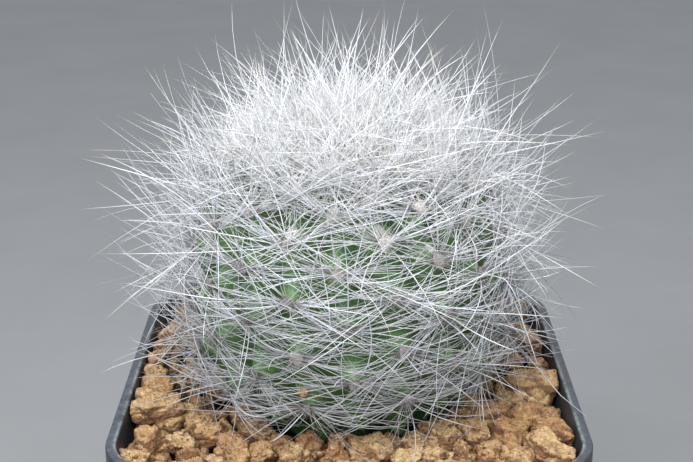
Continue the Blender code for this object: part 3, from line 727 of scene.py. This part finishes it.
def build_pot():
    rings = [rounded_square(half, middle, height) for half, height, middle in pot_path()]
    faces = closed_faces(len(rings), len(rings[0]))
    pot = add_piece("pot_body", np.vstack(rings), faces, pot_look(), "pot")
    drill_drains(pot)
    points = np.array([vert.co for vert in pot.data.vertices])
    half = square_half(points)
    height = points[:, 2]
    # Closeness to the rim's inner edge, where the highlight is painted
    inner_edge = np.hypot(half - RIM_HALF + RIM_WIDTH - RIM_ROUND / 3, RIM - height)
    # The inside of the walls and floor, which the look paints in shade
    inside = (half < inner_half(height) + WALL / 3) & (RIM - height > RIM_ROUND) & (height > FLOOR / 2)
    add_values(pot.data, {"painted_highlight": np.exp(-(inner_edge / HIGHLIGHT_WIDTH) ** 2), "inside": inside})
    pot.data.shade_smooth()


# Stem

def stem_profile():
    """Arc length from the top, radius and height along the outline, over the tubercles' tips."""
    turn = np.linspace(0, pi / 2, OUTLINE_STEPS)
    radius = np.concatenate([STEM_RADIUS * np.sin(turn) ** (2 / UPPER_POWER),
                             STEM_RADIUS * np.cos(turn[1:]) ** (2 / LOWER_POWER)])
    height = np.concatenate([STEM_MIDDLE + STEM_RISE * np.cos(turn) ** (2 / UPPER_POWER),
                             STEM_MIDDLE - STEM_SINK * np.sin(turn[1:]) ** (2 / LOWER_POWER)])
    length = np.append(0, np.cumsum(np.hypot(np.diff(radius), np.diff(height))))
    return length, radius, height


ALONG, RADII, HEIGHTS = stem_profile()


def areole_count(along):
    """How many areoles lie above each arc length: they spread as the stem grows."""
    area = between(AREOLE_AREA, smooth(0, AREOLE_SPREAD, along))
    rate = tau * RADII / area
    return np.append(0, np.cumsum((rate[1:] + rate[:-1]) / 2 * np.diff(along)))


COUNT = areole_count(ALONG)


def profile_at(along):
    """Radius and height at an arc length from the top."""
    return np.interp(along, ALONG, RADII), np.interp(along, ALONG, HEIGHTS)


def outline_at(count):
    """Arc length, radius, height and the normal's two parts, where so many areoles lie above."""
    along = np.interp(count, COUNT, ALONG)
    radius_above, height_above = profile_at(along - NORMAL_STEP)
    radius_below, height_below = profile_at(along + NORMAL_STEP)
    run = radius_below - radius_above
    fall = height_above - height_below
    size = np.hypot(run, fall)
    return along, *profile_at(along), fall / size, run / size


def azimuth_of(rib, count):
    """Direction of a rib, which leans as it goes down."""
    return RIB_PHASE + tau * rib / RIBS + RIB_LEAN * count / RIBS


def lower_radius(height):
    """Radius of the lower stem's outline at a height over the rim."""
    low = len(HEIGHTS) // 2
    return np.interp(-height, -HEIGHTS[low:], RADII[low:])


def build_stem():
    """The ribbed stem in fine rows and columns, swollen round each areole."""
    columns = RIBS * STEM_COLUMNS
    counts = np.arange(YOUNGEST, COUNT[-1], RIBS / STEM_ROWS)
    count, rib = np.meshgrid(counts, np.arange(columns) / STEM_COLUMNS, indexing="ij")
    along, radius, height, out, up = outline_at(count)
    nearest = np.round(rib)
    aside = rib - nearest
    crest = np.cos(pi * aside) ** 2
    phase = (count - RIB_STEP * nearest) / RIBS
    phase -= np.round(phase)
    bump = 0.5 + 0.5 * np.cos(tau * phase)
    depth = FURROW * (1 - crest) + NOTCH * crest * (1 - bump)
    depth -= BULGE * np.exp(-(phase / BULGE_ALONG) ** 2 - (aside / BULGE_ASIDE) ** 2) * crest
    depth *= smooth(0, SMOOTH_CROWN, along) * smooth(*SMOOTH_BELOW, height)
    azimuth = azimuth_of(rib, count)
    level = radius - depth * out
    skin = np.stack([level * np.cos(azimuth), level * np.sin(azimuth), RIM + height - depth * up], axis=-1)
    poles = [(0, 0, RIM + HEIGHTS[0]), (0, 0, RIM + HEIGHTS[-1])]
    points = np.vstack([skin.reshape(-1, 3), poles])
    faces = [face[::-1] for face in ring_faces(len(counts), columns)]
    top = len(points) - 2
    last = top - columns
    for column in range(columns):
        after = (column + 1) % columns
        faces.append((column, after, top))
        faces.append((last + after, last + column, top + 1))
    # Painted light on the tubercles' crests, and painted shade in the furrows, between the tubercles and at
    # the base
    painted_rib_light = (0.25 + 0.75 * bump) * crest ** 0.7 * smooth(*STEM_BASE, height)
    add_piece("stem_skin", points, faces, stem_look(), "stem", {"crest": np.append(painted_rib_light, [0.5, 0.5])})


# Granules

def granule_places(chance):
    """Places on a loose triangular grid between stem and walls, each with its top."""
    half = inner_half(RIM)
    row_step = GRANULE_SPACING * math.sqrt(3) / 2
    rows = int(half / row_step) + 1
    nearest = lower_radius(-SOIL_EDGE_DROP) + GRANULE_STEM_ROOM
    edge = RIM - SOIL_EDGE_DROP
    places = []
    for row, column in product(range(-rows, rows + 1), repeat=2):
        shift = chance.uniform(-GRANULE_SHIFT, GRANULE_SHIFT)
        x = (column + (row % 2) / 2 + shift) * GRANULE_SPACING
        y = (row + chance.uniform(-GRANULE_SHIFT, GRANULE_SHIFT)) * row_step
        inside = inner_half(edge) - WALL_GAP - float(square_half(np.array([[x, y, edge]]))[0])
        if inside > GRANULE_WALL_ROOM and math.hypot(x, y) > nearest:
            places.append((x, y))
    found = []
    for x, y in places:
        top = -chance.uniform(*GRANULE_DROP) + SOIL_SLOPE * (x - y) / half
        x += chance.uniform(-1, 1) * GRANULE_ASIDE
        y += chance.uniform(-1, 1) * GRANULE_ASIDE
        found.append((x, y, top))
        for _ in range(PASSED_DRAWS):
            chance.random()
    return found


def sphere(divisions, finer_top=False):
    """Directions and triangles of a sphere, which can be finer in its upper part."""
    shape = bmesh.new()
    bmesh.ops.create_icosphere(shape, subdivisions=divisions, radius=1.0)
    if finer_top:
        edges = [edge for edge in shape.edges if min(vert.co.z for vert in edge.verts) > UPPER_PART]
        bmesh.ops.subdivide_edges(shape, edges=edges, cuts=1, use_grid_fill=True)
        bmesh.ops.triangulate(shape, faces=shape.faces)
    points = np.array([vert.co for vert in shape.verts])
    faces = np.array([[vert.index for vert in face.verts] for face in shape.faces])
    shape.free()
    return unit(points), faces


def lump(chance, directions, roughness):
    """A ball cut by random planes, then swollen and roughened at three scales."""
    size = np.ones(len(directions))
    for _ in range(chance.randint(*LUMP_CUTS)):
        facing = unit(np.array([chance.gauss(0, 1) for _ in range(3)]))
        cut = chance.uniform(*LUMP_CUT_AT)
        size = np.minimum(size, cut / np.maximum(directions @ facing, TINY))
    seed = Vector([chance.uniform(-SEED_REACH, SEED_REACH) for _ in range(3)])
    rough = np.zeros(len(directions))
    for index, way in enumerate(directions):
        at = Vector(way)
        rough[index] = noise.noise(at * LUMP_SWELL[0] + seed) * LUMP_SWELL[1]
        for scale, height in LUMP_WAVES:
            rough[index] += abs(noise.noise(at * scale + seed)) * height
    return directions * (size * (1 - LUMP_SINK * roughness + roughness * rough))[:, None]


def turned_about(points, angle):
    cos, sin = math.cos(angle), math.sin(angle)
    x, y, height = points.T
    return np.column_stack([x * cos - y * sin, x * sin + y * cos, height])


def moved_off_wall(points):
    """A lump moved in as a whole, where it would press too far into the pot's wall."""
    over = (square_half(points) - inner_half(points[:, 2]) + WALL_GAP).max() - WALL_PRESS
    if over <= 0:
        return points
    middle = points.mean(axis=0)
    arm = np.abs(middle[:2]) - wall_middle(middle[2])
    if (arm > 0).all():
        way = arm / np.hypot(*arm)
    else:
        way = (1, 0) if arm[0] > arm[1] else (0, 1)
    return points - np.append(way * np.sign(middle[:2]) * over, 0)


def scaled_level(points, share):
    """Points with their distances from the pot's axis scaled."""
    return np.column_stack([points[:, 0] * share, points[:, 1] * share, points[:, 2]])


def kept_in_pot(points):
    """Points moved in off the pot's walls."""
    limit = inner_half(points[:, 2]) - WALL_GAP
    return scaled_level(points, np.minimum(1, limit / square_half(points)))


def kept_off_stem(points):
    """Points moved out of the stem's outline."""
    radius = np.hypot(points[:, 0], points[:, 1])
    wanted = lower_radius(points[:, 2] - RIM) - FURROW / 2
    return scaled_level(points, np.maximum(1, wanted / radius))


def placed_lump(chance, directions, place, roughness):
    """A lump at a place, given by x, y, top over the rim and half width."""
    x, y, top, half = place
    shape = lump(chance, directions, roughness)
    size = [half * chance.uniform(*ends) for ends in (LUMP_WIDTH, LUMP_BREADTH, LUMP_HEIGHT)]
    shape = turned_about(shape * size, chance.uniform(0, tau))
    shape += (x, y, RIM + top - shape[:, 2].max())
    return kept_off_stem(kept_in_pot(moved_off_wall(shape)))


def add_lumps(name, places, ball, chance, look, roughness=GRANULE_ROUGHNESS):
    """One piece made of lumps, each with its own tint. Gives the lumps' points back."""
    directions, triangles = ball
    shapes, tints = [], []
    for place in places:
        shapes.append(placed_lump(chance, directions, place, roughness))
        tints.append(chance.random())
    add_copies(name, shapes, triangles, tints, look, "soil")
    return shapes


def dust_places(lumps, directions, chance):
    """Places on top of the lumps for the smallest crumbs."""
    found = []
    upper = np.flatnonzero(directions[:, 2] > DUST_TOP)
    for points in lumps:
        for _ in range(DUST_PER_LUMP):
            x, y, height = points[chance.choice(upper)]
            half = chance.uniform(*DUST_HALF)
            found.append((x, y, height - RIM + half / 2, half))
    return found


def wall_row(chance):
    """Places for smaller lumps along the pot's walls, with gaps."""
    found = []
    reach = wall_middle(RIM) + RIM_CORNER / 2
    across = inner_half(RIM) - WALL_ROW_DEPTH
    for turn in range(4):
        place = -reach
        while place < reach:
            place += chance.uniform(*WALL_ROW_STEP)
            depth = across - chance.uniform(0, WALL_ROW_SHIFT)
            half = chance.uniform(*WALL_ROW_HALF)
            top = -chance.uniform(*WALL_ROW_DROP)
            if chance.random() < WALL_ROW_SHARE:
                x, y = ((place, -depth), (depth, place), (-place, depth), (-depth, -place))[turn]
                found.append((x, y, top, half))
    return found


def crevices(places):
    """The places equally far from three granules that lie close together."""
    centres = [Vector(place[:2]) for place in places]
    found = []
    for corners in delaunay_2d_cdt(centres, [], [], 0, 1e-7)[2]:
        a, b, c = (centres[corner] for corner in corners)
        ab, ac = b - a, c - a
        twice = 2 * (ab.x * ac.y - ab.y * ac.x)
        if abs(twice) < TINY:
            continue
        x = a.x + (ac.y * ab.length_squared - ab.y * ac.length_squared) / twice
        y = a.y + (ab.x * ac.length_squared - ac.x * ab.length_squared) / twice
        if min(math.hypot(x - centre.x, y - centre.y) for centre in centres) < GRANULE_SPACING:
            found.append((x, y))
    return found


def build_bed():
    """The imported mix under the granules: a block with an uneven top and the plant's hole."""
    chance = random.Random(SOIL_SEED + 2)
    top = RIM - BED_DROP
    base, outer = (rounded_square(inner_half(height) - WALL_GAP, wall_middle(height), height)
                   for height in (BED_FLOOR, top))
    columns = len(outer)
    angles = np.arctan2(outer[:, 1], outer[:, 0])
    hole = lower_radius(-BED_DROP) + WALL_GAP
    inner = np.column_stack([hole * np.cos(angles), hole * np.sin(angles), np.full(columns, top)])
    rings = [base, outer]
    for share in np.linspace(0, 1, BED_RINGS)[1:-1]:
        ring = outer + (inner - outer) * share
        ring[:, 2] += [chance.uniform(-BED_ROUGH, BED_ROUGH) for _ in range(columns)]
        rings.append(ring)
    rings.append(inner)
    for drop in (WALL_GAP, ROOT_DEPTH):
        ring = scaled_level(inner, ROOT_HOLE / hole)
        ring[:, 2] = RIM + HEIGHTS[-1] - drop
        rings.append(ring)
    faces = closed_faces(len(rings), columns)
    add_piece("soil_bed", np.vstack(rings), faces, bed_look(), "soil")


def build_granules():
    """The granules that the photograph shows, others where there is room, crumbs and dust."""
    look = granule_look("ochre granules", 0.75)
    places = granule_places(random.Random(SOIL_SEED))
    build_bed()
    chance = random.Random(SOIL_SEED + 1)
    ruled = [(*place, chance.uniform(*GRANULE_HALF)) for place in places]
    large = [tuple(value / 1000 for value in row) for row in SEEN_GRANULES]
    for place in ruled + wall_row(chance):
        if min(math.dist(place[:2], other[:2]) for other in large) > SEEN_ROOM:
            large.append(place)
    left = [place for place in large if place[1] < FRONT_GRANULES and place[0] < 0]
    right = [place for place in large if place[1] < FRONT_GRANULES and place[0] >= 0]
    back = [place for place in large if place[1] >= FRONT_GRANULES]
    fine = sphere(4, True)
    lumps = add_lumps("granules_front_left", left, fine, chance, look)
    lumps += add_lumps("granules_front_right", right, fine, chance, look)
    add_lumps("granules_back", back, sphere(4), chance, look)
    small = [(x, y, -chance.uniform(*CRUMB_DROP), chance.uniform(*CRUMB_HALF)) for x, y in crevices(large)]
    add_lumps("crumbs", small, sphere(3), chance, look, CRUMB_ROUGHNESS)
    add_lumps("dust", dust_places(lumps, fine[0], chance), sphere(2), chance, look, CRUMB_ROUGHNESS)
    # The clinging granule has no painted shade on its sides
    unshaded_granule = granule_look("clinging granule", 0)
    add_lumps("clinging_granule", [SPECK], sphere(3), chance, unshaded_granule, SPECK_ROUGHNESS)


# Areoles and spines

def areole_arrays():
    """Every areole's number, seat, and directions sideways, up the stem and outward."""
    last = int(np.interp(-LOWEST_AREOLE, -HEIGHTS, COUNT))
    number = np.arange(YOUNGEST, last + 1)
    _, radius, height, out, up = outline_at(number)
    azimuth = azimuth_of(RIB_STEP * number % RIBS, number)
    cos, sin = np.cos(azimuth), np.sin(azimuth)
    seat = np.column_stack([radius * cos, radius * sin, RIM + height])
    sideways = np.column_stack([-sin, cos, np.zeros(len(cos))])
    outward = np.column_stack([out * cos, out * sin, up])
    return number, seat, sideways, np.cross(outward, sideways), outward


NUMBER, SEAT, SIDEWAYS, UPWARD, OUTWARD = areole_arrays()


def aim(index, bearing, lift):
    """Directions at a bearing round each areole, from its right, lifted off the surface."""
    flat = SIDEWAYS[index] * np.cos(bearing)[:, None] + UPWARD[index] * np.sin(bearing)[:, None]
    return flat * np.cos(lift)[:, None] + OUTWARD[index] * np.sin(lift)[:, None]


def aim_within(index, bearings, lifts):
    """Directions at random between two bearings and two lifts in degrees."""
    return aim(index, spread(bearings, index), np.radians(spread(lifts, index)))


def aim_aside(index):
    """Random directions along the surface."""
    return aim(index, spread(ALL_ROUND, index), np.zeros(len(index)))


def off_stem(points, room):
    """Points pushed out of the stem's outline, smoothly."""
    middle = (0, 0, RIM + STEM_MIDDLE)
    arm = points - middle
    above = arm[..., 2] > 0
    power = np.where(above, UPPER_POWER, LOWER_POWER)
    rise = np.where(above, STEM_RISE, STEM_SINK)
    level = ((np.hypot(arm[..., 0], arm[..., 1]) / STEM_RADIUS) ** power
             + (np.abs(arm[..., 2]) / rise) ** power) ** (1 / power)
    raised = at_least(level, 1 + room / STEM_RADIUS, STEM_SOFTNESS)
    return middle + arm * (raised / level)[..., None]


def off_soil(points):
    """Points lifted off the granules and over the pot's rim, smoothly."""
    reach = np.abs(points[..., :2]).max(axis=-1)
    over_rim = smooth(RIM_HALF - 2.5 * RIM_WIDTH, RIM_HALF - RIM_WIDTH, reach)
    floor = RIM - SPINE_OVER_SOIL + (SPINE_OVER_SOIL + SPINE_OVER_RIM) * over_rim
    lifted = points.copy()
    lifted[..., 2] = at_least(points[..., 2], floor, SOIL_SOFTNESS)
    return lifted


def bent(way, bend, share):
    """Curves of about length 1 that set out one way and bend from it, at shares of it."""
    return way[:, None] * share + bend[:, None] * share ** 2


def spine_curves(start, way, length, bend, steps, room):
    """Bent spines, a few of them kinked, clear of the stem, the granules and the pot."""
    share = np.linspace(0, 1, steps + 1)[:, None]
    kinked = CHANCE.random(len(length)) < KINKED_SHARE
    kink = drift(KINK, length) * kinked[:, None]
    for _ in range(SHORTENINGS):
        tip = start + length[:, None] * (way + bend + kink * (1 - KINK_AT))
        long = (np.hypot(tip[:, 0], tip[:, 1]) > SPINE_REACH) | (tip[:, 2] > RIM + SPINE_TOP)
        length = np.where(long, length * SHORTENING, length)
    run = bent(way, bend, share) + kink[:, None] * np.maximum(share - KINK_AT, 0)
    points = start[:, None] + length[:, None, None] * run
    cleared = off_soil(off_stem(points, room))
    return points + (cleared - points) * smooth(0, FREE_ROOT, share)


def tubes(points, radius, taper, first):
    """Pointed tubes along curves: points, faces counted from first, and shares along."""
    count, steps = len(points), points.shape[1] - 1
    tangent = unit(np.gradient(points, axis=1))[:, :-1]
    guide = CHANCE.normal(size=(count, 1, 3))
    across = unit(guide - (guide * tangent).sum(axis=-1, keepdims=True) * tangent)
    other = np.cross(tangent, across)
    share = np.arange(steps) / steps
    width = radius[:, None] * np.maximum(1 - share ** taper, THINNEST)
    angle = tau * np.arange(SIDES)[:, None] / SIDES
    aside = across[:, :, None] * np.cos(angle) + other[:, :, None] * np.sin(angle)
    rings = points[:, :-1, None] + aside * width[:, :, None, None]
    verts = np.concatenate([rings.reshape(count, steps * SIDES, 3), points[:, -1:]], axis=1)
    sides = np.array(ring_faces(steps, SIDES))
    low = (steps - 1) * SIDES
    ends = np.array([(low + side, low + (side + 1) % SIDES, steps * SIDES) for side in range(SIDES)])
    roots = np.arange(SIDES)[::-1][None]
    offset = (first + np.arange(count) * verts.shape[1])[:, None, None]
    faces = []
    for pattern in (sides, ends, roots):
        faces += (pattern + offset).reshape(-1, pattern.shape[1]).tolist()
    along = np.append(np.repeat(share, SIDES), 1)
    return verts.reshape(-1, 3), faces, np.tile(along, count)


def add_tubes(name, batches, look):
    """One piece of several batches of tubes, each with its curves, radii, taper and tints."""
    points, faces, along, tints = [], [], [], []
    first = 0
    for curves, radius, taper, tint in batches:
        verts, made, place = tubes(curves, radius, taper, first)
        first += len(verts)
        points.append(verts)
        faces += made
        along.append(place)
        tints.append(np.repeat(tint, len(verts) // len(curves)))
    values = {"along": np.concatenate(along), "tint": np.concatenate(tints)}
    add_piece(name, np.vstack(points), faces, look, "spines", values)


def grown(kind, index, start, way, length, bend):
    """A batch of spines of one kind for add_tubes, painted greyer where low on the stem as painted shade."""
    steps, room, taper, radii, least = kind
    curves = spine_curves(start, way, length, bend, steps, room)
    radius = spread(radii, index)
    # Painted shade: spines low on the stem are painted greyer, and the least whiteness paints the centrals
    # lighter than the radials
    young = smooth(*SPINE_SHADE_HEIGHTS, SEAT[index, 2] - RIM)
    white = least + (1 - least) * CHANCE.random(len(index)) * between(SPINE_SHADE_WHITENESS, young)
    return curves, radius, taper, white


def radial_spines(chosen, each, all_round=ALL_ROUND_SHARE):
    """Thin spines close to the stem, mostly fanned to both sides, bending towards it."""
    index = np.repeat(chosen, each)
    kind = CHANCE.random(len(index))
    high = smooth(*HIGH_SLOPE, OUTWARD[index, 2])
    tilt = np.radians(between(FAN_TILT, high))
    tilt += np.repeat(CHANCE.normal(0, radians(OWN_TILT), len(chosen)), each)
    tilt += CHANCE.normal(0, radians(FAN_SPREAD), len(index))
    fan = np.where(kind < 0.5, tilt, pi - tilt)
    bearing = np.where(CHANCE.random(len(index)) < all_round, spread(ALL_ROUND, index), fan)
    drooping = (np.sin(bearing) < 0) & (CHANCE.random(len(index)) < LIFTED_SHARE * (1 - high))
    bearing = np.where(drooping, -bearing, bearing)
    lift = np.radians(between(RADIAL_LIFT, CHANCE.random(len(index)) ** LIFT_RARITY))
    way = aim(index, bearing, lift * between(LOW_LIFT, high))
    level = np.abs(np.cos(bearing))
    length = spread(RADIAL_LENGTH, index) * between(UPRIGHT_LENGTH, level) * between(LOW_LENGTH, high)
    hug = spread(RADIAL_HUG, index)[:, None] + LOW_HUG * (1 - high[:, None])
    bend = drift(RADIAL_DRIFT, index) - OUTWARD[index] * hug * between(UPRIGHT_HUG, level[:, None])
    bend[:, 2] += spread(RADIAL_RISE, index)
    start = SEAT[index] + way * spread(TUFT_EDGE, index)[:, None]
    start += OUTWARD[index] * spread(RADIAL_SEAT, index)[:, None]
    return grown(RADIAL, index, start, unit(way), length, bend)


def central_spines(chosen, each, lifts, lengths, pull, rarity=CENTRAL_RARITY, bearings=ALL_ROUND):
    """Thicker spines, lifted off the stem by degrees and pulled upwards. Long ones are rarer."""
    index = np.repeat(chosen, each)
    way = unit(aim_within(index, bearings, lifts) + (0, 0, pull))
    bend = drift(CENTRAL_DRIFT, index)
    start = SEAT[index] + OUTWARD[index] * spread(CENTRAL_SEAT, index)[:, None]
    length = between(lengths, CHANCE.random(len(index)) ** rarity)
    return grown(CENTRAL, index, start, way, length, bend)


def skirt_spines(chosen, each):
    """Thin spines that droop round the stem's base."""
    index = np.repeat(chosen, each)
    way = aim_within(index, SKIRT_BEARINGS, SKIRT_LIFT)
    bend = -OUTWARD[index] * spread(SKIRT_HUG, index)[:, None] + drift(SKIRT_DRIFT, index)
    start = SEAT[index] + way * spread(TUFT_EDGE, index)[:, None]
    return grown(SKIRT, index, start, way, spread(SKIRT_LENGTH, index), bend)


def add_side_spines(name, chosen, flank, look):
    """The spines of half of the stem's side. More stand off outside the front sector."""
    low = SEAT[chosen, 2] < RIM + LOW_AREOLES
    add_tubes(name, [
        radial_spines(chosen, 44),
        central_spines(chosen[~low], 3, (20, 65), (0.012, 0.023), 0.3, bearings=UPPER_SIDE),
        central_spines(chosen[~low], 1, (20, 65), (0.012, 0.02), 0.3),
        central_spines(chosen[low], 2, (20, 60), (0.009, 0.017), 0.3),
        central_spines(chosen[flank[chosen]], 2, (15, 55), (0.014, 0.025), 0.15, 1.2),
        skirt_spines(chosen[low], 16),
    ], look)


def build_spines():
    # Painted shade: the side and shoulder spines take a darker copy of the spines' look
    look = spine_look("white spines", (0.35, 0.35, 0.35), (0.6, 0.61, 0.64), (0.9, 0.91, 0.95))
    slope = OUTWARD[:, 2]
    flank = np.abs(np.arctan2(SEAT[:, 0], -SEAT[:, 1])) >= FRONT_SECTOR
    order = np.arange(len(slope))
    wool = order[NUMBER < CROWN_AREOLES]
    crown = order[(NUMBER >= CROWN_AREOLES) & (slope > CROWN_SLOPE)]
    shoulder = order[(slope <= CROWN_SLOPE) & (slope > SHOULDER_SLOPE)]
    side = order[slope <= SHOULDER_SLOPE]
    front = SEAT[side, 1] < 0
    add_side_spines("spines_front", side[front], flank, look)
    add_side_spines("spines_back", side[~front], flank, look)
    outer = shoulder[flank[shoulder]]
    length = (0.011, 0.026)
    add_tubes("spines_shoulder", [
        radial_spines(shoulder[~flank[shoulder]], 42, 0.3),
        radial_spines(outer, 42, 0.2),
        central_spines(shoulder, 4, (15, 75), length, 0.2),
        central_spines(outer, 3, (15, 75), length, 0.3),
        central_spines(shoulder, 3, (5, 45), length, 0.1, 1.5, UPPER_SIDE),
        central_spines(outer, 3, (5, 45), length, 0.1, 1.5, UPPER_SIDE),
    ], look)
    # Painted light: the crown's spines take a lighter copy of the spines' look
    young = spine_look("young spines", (0.68, 0.68, 0.69), (0.79, 0.8, 0.82), (0.86, 0.87, 0.9))
    top = np.concatenate([crown, wool])
    add_tubes("spines_crown", [
        radial_spines(crown, 13, 0.6),
        central_spines(crown, 12, (5, 65), (0.006, 0.022), 0.1, 4.2),
        central_spines(crown, 3, (5, 45), (0.012, 0.026), 0, 1.2, UPPER_SIDE),
        central_spines(wool, 14, (10, 80), (0.005, 0.02), 0.05, 4.8),
        central_spines(top, 2, (10, 80), (0.016, 0.026), 0.2, 1.2),
    ], young)
    build_fleece(top, order[(slope > CROWN_EDGE[0]) & (slope < CROWN_EDGE[1])])
    build_wool(order)


def build_fleece(chosen, edge):
    """Fine hair between the crown's spines, thickest round its edge."""
    index = np.concatenate([np.repeat(chosen, FLEECE_HAIRS), np.repeat(edge, EDGE_HAIRS)])
    way = aim_within(index, ALL_ROUND, FLEECE_LIFT)
    start = SEAT[index] + aim_aside(index) * HAIR_SEAT
    bend = drift(HAIR_DRIFT, index)
    length = spread(FLEECE_LENGTH, index)
    curves = spine_curves(start, way, length, bend, FLEECE_STEPS, FLEECE_ROOM)
    look = wool_look("crown fleece", ((0.9, 0.89, 0.86), (0.96, 0.95, 0.94)),
                     ((0.95, 0.95, 0.94), (0.99, 0.99, 0.99)))
    batch = (curves, spread(FLEECE_RADIUS, index), FLEECE_TAPER, CHANCE.random(len(index)))
    add_tubes("crown_fleece", [batch], look)


def build_wool(order):
    """The areoles' cushions and fibres: old ones small and grey, young ones large and pale."""
    size = spread(TUFT_SCALE, order)
    pale = smooth(*PALE_TUFTS, SEAT[:, 2] - RIM) * PALE_MOST + CHANCE.normal(0, PALE_SPREAD, len(order))
    pale = np.clip(pale, 0, 1)
    size *= between(TUFT_GROWTH, pale)
    lift = CUSHION_LIFT * (1 + PALE_LIFT * pale)
    woolly = order[NUMBER >= WOOLLESS]
    chance = random.Random(PLANT_SEED + 1)
    directions, triangles = sphere(2)
    shapes = []
    for index in woolly:
        shape = lump(chance, directions, CUSHION_ROUGHNESS) * size[index] * CUSHION_HALF
        axes = np.stack([SIDEWAYS[index], UPWARD[index], OUTWARD[index]])
        shapes.append(SEAT[index] + OUTWARD[index] * lift[index] + shape @ axes)
    mauve = wool_look("areole wool", ((0.16, 0.12, 0.11), (0.37, 0.335, 0.34)),
                      ((0.48, 0.42, 0.38), (0.74, 0.71, 0.68)))
    add_copies("areole_cushions", shapes, triangles, pale[woolly], mauve, "spines")

    index = np.repeat(woolly, FIBRES)
    way = aim_within(index, ALL_ROUND, FIBRE_LIFT)
    length = spread(FIBRE_LENGTH, index) * size[index]
    aside = aim_aside(index) * (spread((0, HAIR_SEAT), index) * size[index])[:, None]
    start = SEAT[index] + aside + OUTWARD[index] * lift[index, None]
    bend = drift(HAIR_DRIFT, index)
    run = bent(way, bend, np.linspace(0, 1, 3)[:, None])
    curves = start[:, None] + length[:, None, None] * run
    fibres = wool_look("wool fibres", ((0.22, 0.18, 0.17), (0.43, 0.39, 0.395)),
                       ((0.56, 0.51, 0.46), (0.8, 0.78, 0.75)))
    batch = (curves, spread(FIBRE_RADIUS, index), FIBRE_TAPER, pale[index])
    add_tubes("areole_fibres", [batch], fibres)


add_camera()
add_studio()
build_pot()
build_stem()
build_granules()
build_spines()
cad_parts["root"].data.materials.clear()
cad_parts["root"].data.materials.append(root_look().material)
